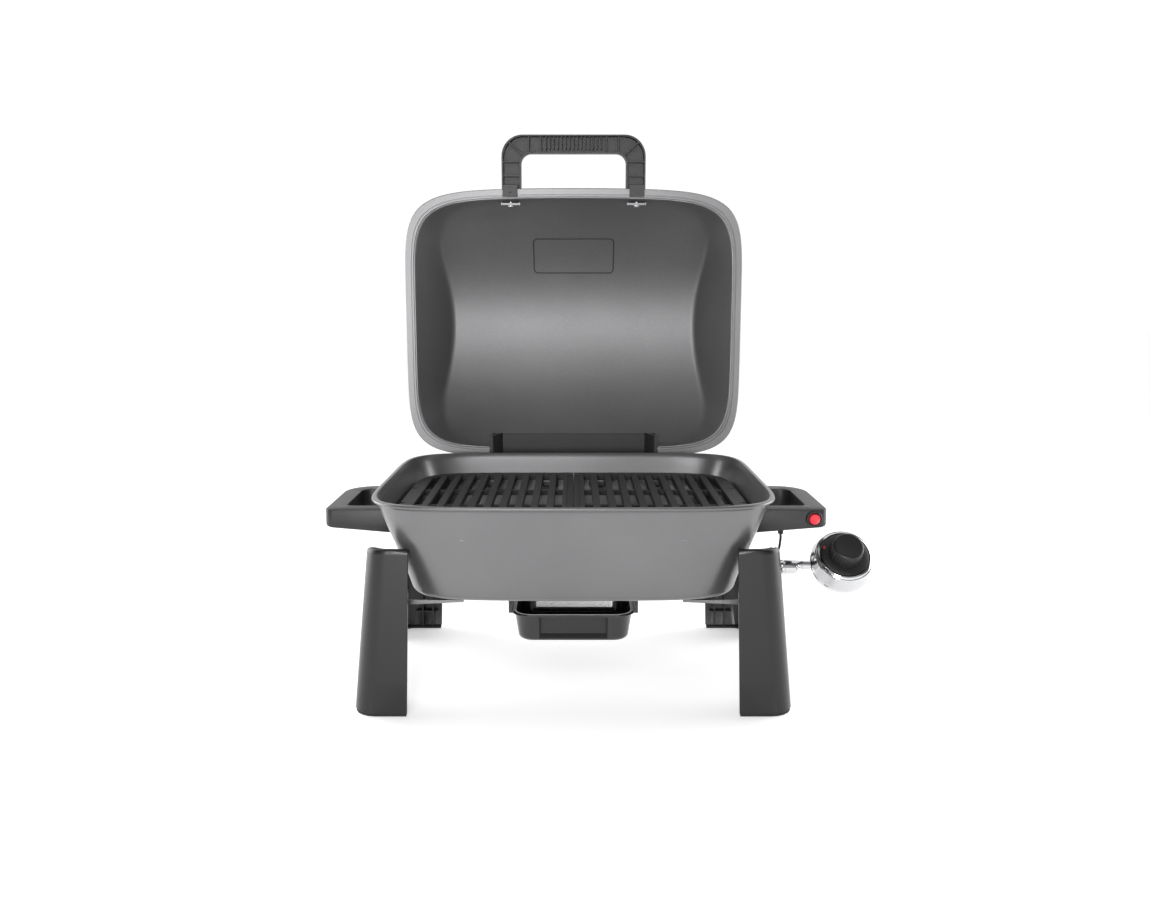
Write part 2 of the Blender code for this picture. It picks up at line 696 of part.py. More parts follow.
def hood(shrink, rear_shrink, low, high):
    """The wedge-sided box of the exhaust hood at the rear edge."""
    outline = [(-HOOD_HALF_LOW + shrink, low), (HOOD_HALF_LOW - shrink, low),
               (HOOD_HALF_HIGH - shrink, high), (-HOOD_HALF_HIGH + shrink, high)]
    return prism(outline, "Y", HOOD_INNER_Y, HOOD_REAR_Y - rear_shrink)


def handle_screw_holes(start_y, length, axis):
    return gather([aim(rod(HANDLE_SCREW_RADIUS + 2 * GAP, length, 12), axis,
                       (side * HANDLE_FOOT_X, start_y, HANDLE_SCREW_Z)) for side in (-1, 1)])


def foot_boxes(half, front, back, low, high):
    """A box at each of the lid handle's two feet."""
    return gather([box((side * HANDLE_FOOT_X - half, front, low), (side * HANDLE_FOOT_X + half, back, high))
                   for side in (-1, 1)])


def make_lid(hinge, materials, origin):
    lid = add_mesh("lid_shell", loft(lid_rings()), materials["cast_dark"], hinge, origin)
    top = LID_BOTTOM_Z + HOOD_HEIGHT
    combine(lid, hood(0.0, 0.0, LID_BOTTOM_Z, top), "UNION", origin)
    combine(lid, hood(HOOD_WALL, HOOD_WALL, LID_BOTTOM_Z - 5 * MM, top - HOOD_WALL), "DIFFERENCE", origin)
    notches = foot_boxes(NOTCH_HALF, -LID_HALF_Y - 2 * MM, FOOT_BACK_Y + 0.4 * MM,
                         LID_BOTTOM_Z - 1 * MM, LID_BOTTOM_Z + LID_FLANGE_THICK)
    combine(lid, notches, "DIFFERENCE", origin)
    combine(lid, handle_screw_holes(-172 * MM, 26 * MM, "+Y"), "DIFFERENCE", origin)


def lid_handle_outline(back):
    """U-shaped outline: both legs end at the back value."""
    half, front, corner = HANDLE_HALF_X, HANDLE_FRONT_Y, HANDLE_CORNER

    def bend(low_x, high_x, y, radius):
        corner_points = []
        for start, x in ((270.0, high_x - radius), (180.0, low_x + radius)):
            for step in range(6):
                angle = math.radians(start + (90.0 - 18.0 * step))
                corner_points.append((x + radius * math.cos(angle), y + radius + radius * math.sin(angle)))
        return corner_points

    outer = [(half, back)] + bend(-half, half, front, corner) + [(-half, back)]
    inner_half = half - HANDLE_LEG
    inner = bend(-inner_half, inner_half, front + HANDLE_GRIP, corner * 0.5)
    return outer + [(-inner_half, back)] + inner[::-1] + [(inner_half, back)]


def make_lid_handle(hinge, materials, origin):
    """Carrying handle with slanted leg ends and a foot in each notch of the flange."""
    low, high = LID_BOTTOM_Z + HANDLE_RAISE, LID_BOTTOM_Z + HANDLE_RAISE + HANDLE_THICK
    back = -LID_HALF_Y + LID_FLANGE_WIDTH - 0.5 * MM
    body = prism(lid_handle_outline(back), "Z", low, high)
    for vert in body.verts:
        if vert.co.z > low + 1 * MM and vert.co.y > back - 1 * MM:
            vert.co.y += HANDLE_END_SLANT
    handle = add_mesh("lid_handle", body, materials["plastic"], hinge, origin)
    foot_z = LID_BOTTOM_Z + 0.2 * MM
    feet = foot_boxes(HANDLE_FOOT_HALF, -LID_HALF_Y - 1 * MM, FOOT_BACK_Y, foot_z, foot_z + 2.5 * MM)
    webs = foot_boxes(HANDLE_FOOT_HALF, -LID_HALF_Y - 5 * MM, -LID_HALF_Y - 0.6 * MM, foot_z, low + 3 * MM)
    combine(handle, feet, "UNION", origin)
    combine(handle, webs, "UNION", origin)
    combine(handle, handle_screw_holes(-153 * MM, 26 * MM, "-Y"), "DIFFERENCE", origin)


def cap_screw(head_radius, radius, length, segments):
    return turned([(0, 0), (head_radius, 0), (head_radius, SCREW_HEAD_THICK), (radius, SCREW_HEAD_THICK),
                   (radius, length), (0, length)], segments)


def make_lid_fastenings(hinge, materials, origin):
    """Screws that hold the handle from inside the lid."""
    for side, name in ((-1, "left"), (1, "right")):
        screw = cap_screw(HANDLE_SCREW_HEAD, HANDLE_SCREW_RADIUS, HANDLE_SCREW_LENGTH, 14)
        place = (side * HANDLE_FOOT_X, HANDLE_SCREW_Y, HANDLE_SCREW_Z)
        add_mesh("lid_handle_screw_" + name, aim(screw, "-Y", place), materials["steel"], hinge, origin)


# ---------------------------------------------------------------- lid hinges

def hinge_lug_outline():
    """Hook in the Y-Z plane, from the lid's flange round to the hinge pin."""
    flat_low, flat_high = LID_BOTTOM_Z + 3.5 * MM, LID_BOTTOM_Z + 7 * MM
    front, back = HINGE_Y - 5.25 * MM, HINGE_Y + 5.75 * MM
    bottom, waist = HINGE_Z - 5.65 * MM, HINGE_Z - 3.25 * MM
    return [(LUG_ROOT_Y, flat_low), (LUG_ROOT_Y, flat_high), (back, flat_high), (back, waist),
            (back - 3 * MM, bottom), (front + 2.5 * MM, bottom), (front, waist), (front, HINGE_Z + 2.75 * MM),
            (LUG_NECK_Y, HINGE_Z + 6.25 * MM), (LUG_NECK_Y, flat_low)]


def make_hinges(root, hinge, materials, origin):
    bore = HINGE_PIN_RADIUS + GAP
    web_y = wall_y(BRACKET_TOP_Z) + 0.6 * MM
    back = HINGE_Y + 5.75 * MM
    ear = [(web_y, BRACKET_LOW_Z), (web_y + 3 * MM, BRACKET_LOW_Z), (back, HINGE_Z - 6.25 * MM),
           (back, BRACKET_TOP_Z), (web_y, BRACKET_TOP_Z)]
    web = [(web_y, BRACKET_LOW_Z), (web_y + 2.5 * MM, BRACKET_LOW_Z), (web_y + 2.5 * MM, BRACKET_TOP_Z),
           (web_y, BRACKET_TOP_Z)]
    inner, outer = KNUCKLE_HALF + 0.6 * MM, KNUCKLE_HALF + 4.6 * MM
    for side, name in ((-1, "left"), (1, "right")):
        x = side * HINGE_X

        def hinge_rod(radius, half_length, middle=x):
            return aim(rod(radius, 2 * half_length), "+X", (middle - half_length, HINGE_Y, HINGE_Z))

        hook = prism(hinge_lug_outline(), "X", x - KNUCKLE_HALF, x + KNUCKLE_HALF)
        lug = add_mesh("lid_hinge_lug_" + name, hook, materials["steel"], hinge, origin)
        combine(lug, hinge_rod(bore, 15 * MM), "DIFFERENCE", origin)
        bracket = add_mesh("hinge_bracket_" + name, prism(web, "X", x - outer, x + outer),
                           materials["steel"], root)
        ears = gather([prism(ear, "X", x - outer - 0.2 * MM, x - inner),
                       prism(ear, "X", x + inner, x + outer + 0.2 * MM)])
        combine(bracket, ears, "UNION")
        combine(bracket, hinge_rod(bore, 15 * MM), "DIFFERENCE")
        add_mesh("hinge_pin_" + name, hinge_rod(HINGE_PIN_RADIUS, 12 * MM), materials["steel"], root)


# ---------------------------------------------------------------- side handles and igniter

def side_handle_rings(side):
    outer_x = SIDE_OUTER_X[0] if side < 0 else SIDE_OUTER_X[1]
    root_top = wall_x(SIDE_TOP_Z) + 0.5 * MM
    root_low = wall_x(SIDE_BOTTOM_ROOT_Z) + 0.5 * MM
    radii = (1 * MM, 9 * MM, 34 * MM, 1 * MM)
    hole_radii = (5 * MM, 7 * MM, 12 * MM, 5 * MM)

    def sloped(points):
        for point in points:
            share = min(max((point.x - root_top) / (outer_x - root_top), 0.0), 1.0)
            if point.x < root_top + 1.5 * MM:
                point.x -= root_top - root_low
            point.z = SIDE_BOTTOM_ROOT_Z + (SIDE_BOTTOM_TIP_Z - SIDE_BOTTOM_ROOT_Z) * share
        return points

    def outer(inset, z):
        return rounded_rectangle((root_top, -SIDE_HALF_Y + inset), (outer_x - inset, SIDE_HALF_Y - inset),
                                 radii, z)

    def inner(z):
        return rounded_rectangle((root_top + SIDE_ROOT_BAR, -SIDE_HALF_Y + SIDE_BAND),
                                 (outer_x - SIDE_BAND, SIDE_HALF_Y - SIDE_BAND), hole_radii, z)

    bevel = 2 * MM
    rings = [sloped(inner(0.0)), sloped(outer(0.0, 0.0)), outer(0.0, SIDE_TOP_Z - bevel),
             outer(bevel * 0.7, SIDE_TOP_Z), inner(SIDE_TOP_Z)]
    if side < 0:
        rings = [[Vector((-point.x, point.y, point.z)) for point in ring] for ring in rings]
    return rings


def side_gussets(side):
    """Two webs under each handle that brace it against the firebox wall."""
    low_x, high_x = wall_x(GUSSET_LOW_Z) + 0.8 * MM, wall_x(GUSSET_TOP_Z) + 0.8 * MM
    outline = [(side * low_x, GUSSET_LOW_Z), (side * (low_x + GUSSET_ROOT), GUSSET_LOW_Z),
               (side * GUSSET_OUTER_X, GUSSET_TOP_Z - 4 * MM), (side * GUSSET_OUTER_X, GUSSET_TOP_Z),
               (side * high_x, GUSSET_TOP_Z)]
    near, far = GUSSET_Y
    return gather([prism(outline, "Y", -far, -near), prism(outline, "Y", near, far)])


def make_side_handles(root, materials):
    for side, name in ((-1, "left"), (1, "right")):
        handle = add_mesh(name + "_side_handle", loft(side_handle_rings(side), stack_closes=True),
                          materials["plastic"], root)
        axis = "+X" if side > 0 else "-X"
        start = side * (wall_x(SCREW_Z) - 3 * MM)
        holes = [aim(rod(SCREW_RADIUS + 0.4 * MM, 14 * MM, 12), axis, (start, y, SCREW_Z))
                 for y in (-SCREW_Y, SCREW_Y)]
        if side > 0:
            holes.append(aim(rod(BUTTON_RADIUS + 0.6 * MM, BUTTON_HOLE_DEPTH + 5 * MM, 20), "+Y",
                             (BUTTON_X, -SIDE_HALF_Y - 5 * MM, BUTTON_Z)))
        combine(handle, side_gussets(side), "UNION")
        combine(handle, gather(holes), "DIFFERENCE")
        head = side * (wall_x(SCREW_Z) - WALL - 4.4 * MM)
        for y, end in ((-SCREW_Y, "front"), (SCREW_Y, "rear")):
            screw = cap_screw(SCREW_HEAD_RADIUS, SCREW_RADIUS, SCREW_LENGTH, 12)
            add_mesh(f"{name}_handle_screw_{end}", aim(screw, axis, (head, y, SCREW_Z)),
                     materials["steel"], root)


def make_igniter(root, materials):
    face_y = -SIDE_HALF_Y
    bezel = turned([(BUTTON_RADIUS + 0.4 * MM, 0), (BEZEL_RADIUS, 0), (BEZEL_RADIUS - 1 * MM, BEZEL_THICK),
                    (BUTTON_RADIUS + 0.4 * MM, BEZEL_THICK)])
    add_mesh("igniter_bezel", aim(bezel, "-Y", (BUTTON_X, face_y - GAP, BUTTON_Z)),
             materials["plastic"], root)
    button_axis = make_empty("igniter_button_axis", root, (BUTTON_X, face_y, BUTTON_Z))
    button = turned([(0, 0), (BUTTON_RADIUS, 0), (BUTTON_RADIUS, BUTTON_LENGTH - 1 * MM),
                     (BUTTON_RADIUS - 1 * MM, BUTTON_LENGTH), (0, BUTTON_LENGTH)])
    back = face_y + BUTTON_LENGTH - BUTTON_PROUD
    add_mesh("igniter_button", aim(button, "-Y", (BUTTON_X, back, BUTTON_Z)), materials["red"],
             button_axis, (BUTTON_X, face_y, BUTTON_Z))
    module_length = 6 * MM
    module = aim(rod(BUTTON_RADIUS, module_length), "-Y",
                 (BUTTON_X, face_y + BUTTON_HOLE_DEPTH - GAP, BUTTON_Z))
    add_mesh("piezo_module", module, materials["ceramic"], root)

    slope = (SIDE_BOTTOM_TIP_Z - SIDE_BOTTOM_ROOT_Z) / (SIDE_OUTER_X[1] - wall_x(SIDE_TOP_Z))
    underside = SIDE_BOTTOM_ROOT_Z + slope * (GLAND_X - wall_x(SIDE_TOP_Z) - 5 * MM)
    gland_top = underside - 0.6 * MM
    gland_length = 4 * MM
    add_mesh("igniter_wire_gland", aim(rod(3 * MM, gland_length, 12), "+Z",
                                       (GLAND_X, GLAND_Y, gland_top - gland_length)),
             materials["rubber"], root)
    stops = [(GLAND_X, GLAND_Y, gland_top - gland_length - GAP), (GLAND_X, GLAND_Y, 168 * MM),
             (225 * MM, GLAND_Y - 1 * MM, 156 * MM), (212 * MM, ELECTRODE_Y, 148 * MM),
             (198 * MM, ELECTRODE_Y, ELECTRODE_Z), (ELECTRODE_OUTER_X + GAP, ELECTRODE_Y, ELECTRODE_Z)]
    add_pipe("igniter_wire", smooth_route(stops, 22), WIRE_RADIUS, materials["rubber"], root)


# ---------------------------------------------------------------- legs

def leg_section(side_x, side_y, z, skin, inset=0.0, falls=False):
    """Angle section that wraps a corner: front or rear skin, round corner, side skin."""
    fall = LEG_TOP_FALL if falls else 0.0
    share = z / LEG_TOP_Z
    inner_x = LEG_INNER_FOOT_X + (LEG_INNER_TOP_X - LEG_INNER_FOOT_X) * share + inset
    outer_x = LEG_OUTER_FOOT_X + (LEG_OUTER_TOP_X - LEG_OUTER_FOOT_X) * share - inset
    face_y, end_y = LEG_FRONT_Y - inset, LEG_REAR_Y + inset

    def path(offset):
        radius = LEG_CORNER - offset
        centre_x, centre_y = outer_x - LEG_CORNER, face_y - LEG_CORNER
        points = [(inner_x, face_y - offset)]
        for step in range(6):
            angle = math.radians(90.0 - 18.0 * step)
            points.append((centre_x + radius * math.cos(angle), centre_y + radius * math.sin(angle)))
        points.append((outer_x - offset, end_y))
        return points

    outline = path(0.0) + path(skin)[::-1]
    return [Vector((side_x * x, side_y * y, z - fall * max(LEG_TOP_FALL_Y - y, 0.0))) for x, y in outline]


def make_leg(root, materials, side_x, side_y, name):
    origin = (side_x * LEG_PIVOT_X, side_y * EAR_INNER_Y, LEG_PIVOT_Z)
    axis = make_empty(f"{name}_leg_axis", root, origin)
    lip_z = LEG_TOP_Z - 3 * MM
    rings = [leg_section(side_x, side_y, PAD_TOP_Z + GAP, LEG_SKIN),
             leg_section(side_x, side_y, lip_z, LEG_SKIN, 0.0, True),
             leg_section(side_x, side_y, lip_z + 0.2 * MM, LEG_LIP, 0.0, True),
             leg_section(side_x, side_y, LEG_TOP_Z, LEG_LIP, 0.6 * MM, True)]
    leg = add_mesh(name + "_leg", loft(rings), materials["plastic"], axis, origin)
    ribs = []
    x0, x1 = sorted((side_x * (LEG_PIVOT_X - LEG_RIB_INNER), side_x * LEG_RIB_OUTER_X))
    for near in (EAR_INNER_Y - LEG_RIB_GAP - EAR_THICK, EAR_INNER_Y + EAR_THICK + LEG_RIB_GAP):
        y0, y1 = sorted((side_y * near, side_y * (near + EAR_THICK)))
        ribs.append(box((x0, y0, LEG_PIVOT_Z - LEG_RIB_HALF_Z), (x1, y1, LEG_PIVOT_Z + LEG_RIB_HALF_Z)))
    combine(leg, gather(ribs), "UNION", origin)

    def pivot_rod(radius, half_length):
        middle = side_y * (EAR_INNER_Y + EAR_THICK / 2)
        return aim(rod(radius, 2 * half_length), "+Y",
                   (side_x * LEG_PIVOT_X, middle - half_length, LEG_PIVOT_Z))

    combine(leg, pivot_rod(LEG_PIN_RADIUS + GAP, 15 * MM), "DIFFERENCE", origin)
    pad = loft([leg_section(side_x, side_y, 0.0, LEG_SKIN + 3 * MM, 0.8 * MM),
                leg_section(side_x, side_y, PAD_TOP_Z, LEG_SKIN + 3 * MM, 0.8 * MM)])
    add_mesh(name + "_foot_pad", pad, materials["rubber"], axis, origin)
    add_mesh(name + "_leg_pin", pivot_rod(LEG_PIN_RADIUS, LEG_PIN_HALF), materials["steel"], axis, origin)


def make_leg_bracket(root, materials, side_x, side_y, name):
    """Bent steel plate: a flange under the firebox and an ear out to the leg's pin."""
    top, low = FLOOR_Z - 0.4 * MM, LEG_PIVOT_Z - EYE_RADIUS
    outline = [(ARM_ROOT_X, top - ARM_THIN), (ARM_ROOT_X, top), (ARM_BEND_X, top),
               (LEG_PIVOT_X + 2 * MM, top + 1 * MM), (LEG_PIVOT_X + EYE_RADIUS, LEG_PIVOT_Z + 3 * MM),
               (LEG_PIVOT_X + EYE_RADIUS, LEG_PIVOT_Z - 3 * MM), (LEG_PIVOT_X + 2 * MM, low),
               (LEG_PIVOT_X - 4 * MM, low), (LEG_PIVOT_X - 10 * MM, top - 5 * MM)]
    ear = [(side_x * x, z) for x, z in outline]
    y0, y1 = sorted((side_y * EAR_INNER_Y, side_y * (EAR_INNER_Y + EAR_THICK)))
    bracket = add_mesh(name + "_leg_bracket", prism(ear, "Y", y0, y1), materials["steel"], root)
    f0, f1 = sorted((side_y * (EAR_INNER_Y - FLANGE_LONG), side_y * (EAR_INNER_Y + EAR_THICK - 0.2 * MM)))
    x0, x1 = sorted((side_x * (ARM_ROOT_X - 2 * MM), side_x * (ARM_ROOT_X + FLANGE_WIDE)))
    combine(bracket, box((x0, f0, top - 2.7 * MM), (x1, f1, top - 0.2 * MM)), "UNION")
    hole = aim(rod(LEG_PIN_RADIUS + GAP, 20 * MM), "+Y",
               (side_x * LEG_PIVOT_X, side_y * EAR_INNER_Y - 10 * MM, LEG_PIVOT_Z))
    combine(bracket, hole, "DIFFERENCE")


# ---------------------------------------------------------------- grease tray

def make_tray(root, materials):
    def ring(inset, z):
        low = (-TRAY_HALF_X + inset, TRAY_FRONT_Y + inset)
        high = (TRAY_HALF_X - inset, TRAY_REAR_Y - inset)
        return rounded_rectangle(low, high, [TRAY_CORNER - min(inset, 8 * MM)] * 4, z)

    wall, rim = TRAY_WALL, TRAY_RIM_Z
    rings = [ring(TRAY_DRAFT + 6 * MM, TRAY_BOTTOM_Z), ring(TRAY_DRAFT + 1.5 * MM, TRAY_BOTTOM_Z + 2 * MM),
             ring(TRAY_DRAFT, TRAY_BOTTOM_Z + 6 * MM), ring(0.0, rim - TRAY_LIP),
             ring(-TRAY_FLANGE, rim - TRAY_LIP), ring(-TRAY_FLANGE, rim), ring(wall, rim),
             ring(TRAY_DRAFT + wall, TRAY_BOTTOM_Z + 6 * MM),
             ring(TRAY_DRAFT + 6 * MM, TRAY_BOTTOM_Z + wall)]
    add_mesh("grease_tray", loft(rings), materials["black_metal"], root)
    lip_top = rim - TRAY_LIP - GAP
    shelf = TRAY_HALF_X + 0.8 * MM
    hang = shelf + TRAY_FLANGE
    top = FLOOR_Z - 0.6 * MM
    for side, name in ((-1, "left"), (1, "right")):
        profile = [(shelf, lip_top - RAIL_THICK), (hang + RAIL_THICK, lip_top - RAIL_THICK),
                   (hang + RAIL_THICK, top - RAIL_THICK), (hang + RAIL_FLANGE, top - RAIL_THICK),
                   (hang + RAIL_FLANGE, top), (hang, top), (hang, lip_top), (shelf, lip_top)]
        outline = [(side * x, z) for x, z in profile]
        add_mesh("tray_rail_" + name, prism(outline, "Y", RAIL_FRONT_Y, RAIL_REAR_Y),
                 materials["steel"], root)


# ---------------------------------------------------------------- regulator

def lean_profile(pairs):
    """Half profile given in millimetres of radius and height along the regulator's axis."""
    return [(radius * MM, height * MM) for radius, height in pairs]


def make_regulator(root, materials):
    lean = make_empty("regulator_axis", root, REGULATOR_CENTRE, (REGULATOR_TILT, 0.0, 0.0))
    body = lean_profile([(0, -28), (16, -28), (22, -26), (28, -21), (33, -13), (35.6, -5), (36.2, 3), (35, 8),
                         (33.6, 13), (32.8, 17.5), (31.6, 18), (31.4, 16), (0, 16)])
    add_mesh("regulator_body", turned(body, 36), materials["chrome"], lean)
    collar = lean_profile([(0, -31), (13, -31), (13, -41), (16, -41), (17, -40), (17, -30), (15, -28.3),
                           (0, -28.3)])
    add_mesh("cylinder_collar", turned(collar, 24), materials["brass"], lean)
    knob_axis = make_empty("knob_axis", lean, (0.0, 0.0, KNOB_SEAT))
    skirt = lean_profile([(0, 0), (30, 0), (30.8, 1.4), (29.6, 2.4), (22, 3.6), (0, 3.6)])
    add_mesh("knob_skirt", turned(skirt, 36), materials["plastic"], knob_axis)
    cap = lean_profile([(0, 3.9), (19, 3.9), (17.4, 20), (15.8, 21.6), (0, 22)])
    add_mesh("regulator_knob", turned(cap, 32), materials["plastic"], knob_axis)


def make_gas_line(root, materials):
    """The outlet beside the regulator, and the pipe from it into the firebox."""
    y = REGULATOR_CENTRE.y
    rings = []
    for x, radius, z in ((NOZZLE_START_X, NECK_RADIUS, NECK_Z), (NECK_END_X, NECK_RADIUS, NECK_Z),
                         (NECK_END_X - 3 * MM, NOZZLE_RADIUS, NOZZLE_Z),
                         (NOZZLE_END_X + 1 * MM, NOZZLE_RADIUS, NOZZLE_Z),
                         (NOZZLE_END_X, NOZZLE_RADIUS - 1 * MM, NOZZLE_Z)):
        ring = []
        for step in range(20):
            angle = 2.0 * math.pi * step / 20
            ring.append(Vector((x, y + radius * math.cos(angle), z + radius * math.sin(angle))))
        rings.append(ring)
    add_mesh("regulator_outlet", loft(rings), materials["chrome"], root)
    stops = [(NOZZLE_END_X - 1.2 * MM, y, NOZZLE_Z), (222 * MM, y, NOZZLE_Z), (206 * MM, -8 * MM, 128 * MM),
             (192 * MM, -2 * MM, 135 * MM), (180 * MM, 0, GAS_PIPE_Z), (GAS_PIPE_END_X, 0, GAS_PIPE_Z)]
    add_pipe("gas_pipe", smooth_route(stops, 18), GAS_PIPE_RADIUS, materials["steel"], root)


# ---------------------------------------------------------------- assembly

def stand_on_origin(root):
    """Move the grill so that the centre of its box is over the origin."""
    bpy.context.view_layer.update()
    graph = bpy.context.evaluated_depsgraph_get()
    corners = []
    for piece in bpy.data.objects:
        if piece.type != "EMPTY" and not piece.hide_render:
            shape = piece.evaluated_get(graph)
            corners += [shape.matrix_world @ vert.co for vert in shape.to_mesh().vertices]
            shape.to_mesh_clear()
    for axis in (0, 1):
        values = [corner[axis] for corner in corners]
        root.location[axis] = -(min(values) + max(values)) / 2
    bpy.context.view_layer.update()


def main():
    clear_scene()
    materials = {
        "cast": make_material("grey_cast_aluminium", (0.23, 0.23, 0.23), 0.38, 0.75),
        "cast_dark": make_material("dark_cast_aluminium", (0.10, 0.10, 0.10), 0.42, 0.6),
        "iron": make_material("enamelled_iron", (0.05, 0.05, 0.05), 0.5, 0.3),
        "plastic": make_material("black_plastic", (0.035, 0.035, 0.037), 0.48, 0.0),
        "rubber": make_material("black_rubber", (0.02, 0.02, 0.02), 0.8, 0.0),
        "steel": make_material("plated_steel", (0.45, 0.45, 0.45), 0.32, 1.0),
        "chrome": make_material("chrome", (0.8, 0.8, 0.8), 0.12, 1.0),
        "brass": make_material("brass", (0.6, 0.45, 0.2), 0.3, 1.0),
        "ceramic": make_material("white_ceramic", (0.8, 0.78, 0.72), 0.4, 0.0),
        "black_metal": make_material("black_enamel", (0.02, 0.02, 0.02), 0.25, 0.2),
        "red": make_material("red_plastic", (0.7, 0.03, 0.05), 0.35, 0.0),
    }
    root = make_empty("grill")
    make_firebox(root, materials)
    make_grates(root, materials)
    make_heat_plate(root, materials)
    make_burner(root, materials)
    hinge_place = (0.0, HINGE_Y, HINGE_Z)
    hinge = make_empty("lid_axis", root, hinge_place, (-LID_OPEN_ANGLE, 0.0, 0.0))
    make_lid(hinge, materials, hinge_place)
    make_lid_handle(hinge, materials, hinge_place)
    make_lid_fastenings(hinge, materials, hinge_place)
    make_hinges(root, hinge, materials, hinge_place)
    make_side_handles(root, materials)
    make_igniter(root, materials)
    for side_y, depth_name in ((-1, "front"), (1, "rear")):
        for side_x, width_name in ((-1, "left"), (1, "right")):
            name = f"{depth_name}_{width_name}"
            make_leg(root, materials, side_x, side_y, name)
            make_leg_bracket(root, materials, side_x, side_y, name)
    make_tray(root, materials)
    make_regulator(root, materials)
    make_gas_line(root, materials)
    stand_on_origin(root)


main()
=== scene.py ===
"""Looks of the portable tabletop gas grill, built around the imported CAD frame."""

import math

import bmesh
import bpy
from mathutils import Matrix, Vector


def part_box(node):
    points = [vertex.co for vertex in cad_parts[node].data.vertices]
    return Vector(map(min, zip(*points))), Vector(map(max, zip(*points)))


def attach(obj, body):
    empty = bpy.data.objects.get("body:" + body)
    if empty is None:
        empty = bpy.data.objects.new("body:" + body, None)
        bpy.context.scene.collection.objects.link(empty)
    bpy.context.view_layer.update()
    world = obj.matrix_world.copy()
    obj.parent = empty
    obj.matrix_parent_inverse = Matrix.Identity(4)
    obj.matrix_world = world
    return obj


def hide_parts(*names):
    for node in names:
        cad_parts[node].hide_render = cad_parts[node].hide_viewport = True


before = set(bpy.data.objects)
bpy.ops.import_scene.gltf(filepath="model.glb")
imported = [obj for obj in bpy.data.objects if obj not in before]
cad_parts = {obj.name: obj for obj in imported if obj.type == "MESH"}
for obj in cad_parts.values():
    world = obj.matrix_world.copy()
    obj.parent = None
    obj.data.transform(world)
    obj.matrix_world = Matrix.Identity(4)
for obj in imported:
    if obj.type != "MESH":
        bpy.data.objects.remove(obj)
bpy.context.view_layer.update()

MM = 0.001
TUB_LOW, TUB_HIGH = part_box("firebox")
# Everything below is drawn in millimetres around the middle of the tub, with the ground at zero.
MIDDLE = Vector(((TUB_LOW.x + TUB_HIGH.x) / 2, (TUB_LOW.y + TUB_HIGH.y) / 2, 0.0))
TO_FRAME = Matrix.Translation(MIDDLE) @ Matrix.Scale(MM, 4)


def drawn_box(node):
    """A CAD node's box in the drawing's millimetres."""
    low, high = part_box(node)
    return (low - MIDDLE) / MM, (high - MIDDLE) / MM


# ---------------------------------------------------------------- camera, light and floor

CAMERA_PLACE = (1.8, -1131.0, 443.6)
CAMERA_PITCH = 9.24
LENS = 31.4
SENSOR_WIDTH = 36.0
FLOOR_GREY = 0.88
FLOOR_GLOW = 0.42
FLOOR_REACH = 14.0
FLOOR_REAR = 9.0
WORLD_POWER = 1.05
# Brightness of the room from in front of the grill (0) to behind it (1).
WORLD_STOPS = ((0.0, 0.55), (0.10, 0.50), (0.2, 0.12), (0.42, 0.12), (0.54, 0.75), (0.62, 1.0))
# Place, target and size in metres from the frame's middle, and power in watts.
SOFTBOXES = {
    "front": ((-0.25, -2.2, 0.45), (0.0, 0.0, 0.38), (0.45, 0.6), 23.0),
    "key": ((-0.4, -1.7, 1.7), (0.0, 0.0, 0.25), (1.0, 0.6), 7.0),
    "left_strip": ((-1.3, 0.25, 0.5), (-0.1, 0.0, 0.2), (1.0, 1.2), 13.0),
    "right_strip": ((1.3, 0.25, 0.5), (0.1, 0.0, 0.2), (1.0, 1.2), 13.0),
}


def add_camera():
    camera = bpy.data.objects.new("camera", bpy.data.cameras.new("camera"))
    bpy.context.scene.collection.objects.link(camera)
    camera.location = TO_FRAME @ Vector(CAMERA_PLACE)
    camera.rotation_euler = (math.radians(90.0 - CAMERA_PITCH), 0.0, 0.0)
    camera.data.lens = LENS
    camera.data.sensor_width = SENSOR_WIDTH
    camera.data.clip_start = 0.01
    bpy.context.scene.camera = camera


def add_softbox(name, place, target, size, power):
    light = bpy.data.lights.new(name, "AREA")
    light.shape = "RECTANGLE"
    light.size, light.size_y = size
    light.energy = power
    lamp = bpy.data.objects.new(name, light)
    bpy.context.scene.collection.objects.link(lamp)
    lamp.location = Vector(place)
    lamp.rotation_euler = (Vector(target) - Vector(place)).to_track_quat("-Z", "Y").to_euler()


def add_studio():
    """A room that is white behind the grill and darker in front of it, with softboxes around it."""
    world = bpy.data.worlds.new("studio")
    bpy.context.scene.world = world
    world.use_nodes = True
    tree = world.node_tree
    background = tree.nodes["Background"]
    coords = tree.nodes.new("ShaderNodeTexCoord")
    split = tree.nodes.new("ShaderNodeSeparateXYZ")
    tree.links.new(coords.outputs["Generated"], split.inputs["Vector"])
    depth = tree.nodes.new("ShaderNodeValToRGB")
    steps = depth.color_ramp.elements
    steps.remove(steps[0])
    steps[0].position = WORLD_STOPS[0][0]
    steps[0].color = (WORLD_STOPS[0][1],) * 3 + (1.0,)
    for spot, value in WORLD_STOPS[1:]:
        steps.new(spot).color = (value,) * 3 + (1.0,)
    span = tree.nodes.new("ShaderNodeMapRange")
    span.inputs["From Min"].default_value = -1.0
    span.inputs["From Max"].default_value = 1.0
    tree.links.new(split.outputs["Y"], span.inputs["Value"])
    tree.links.new(span.outputs["Result"], depth.inputs["Fac"])
    tree.links.new(depth.outputs["Color"], background.inputs["Color"])
    background.inputs["Strength"].default_value = WORLD_POWER
    for name, settings in SOFTBOXES.items():
        add_softbox(name, *settings)
    bpy.context.scene.view_settings.view_transform = "Standard"


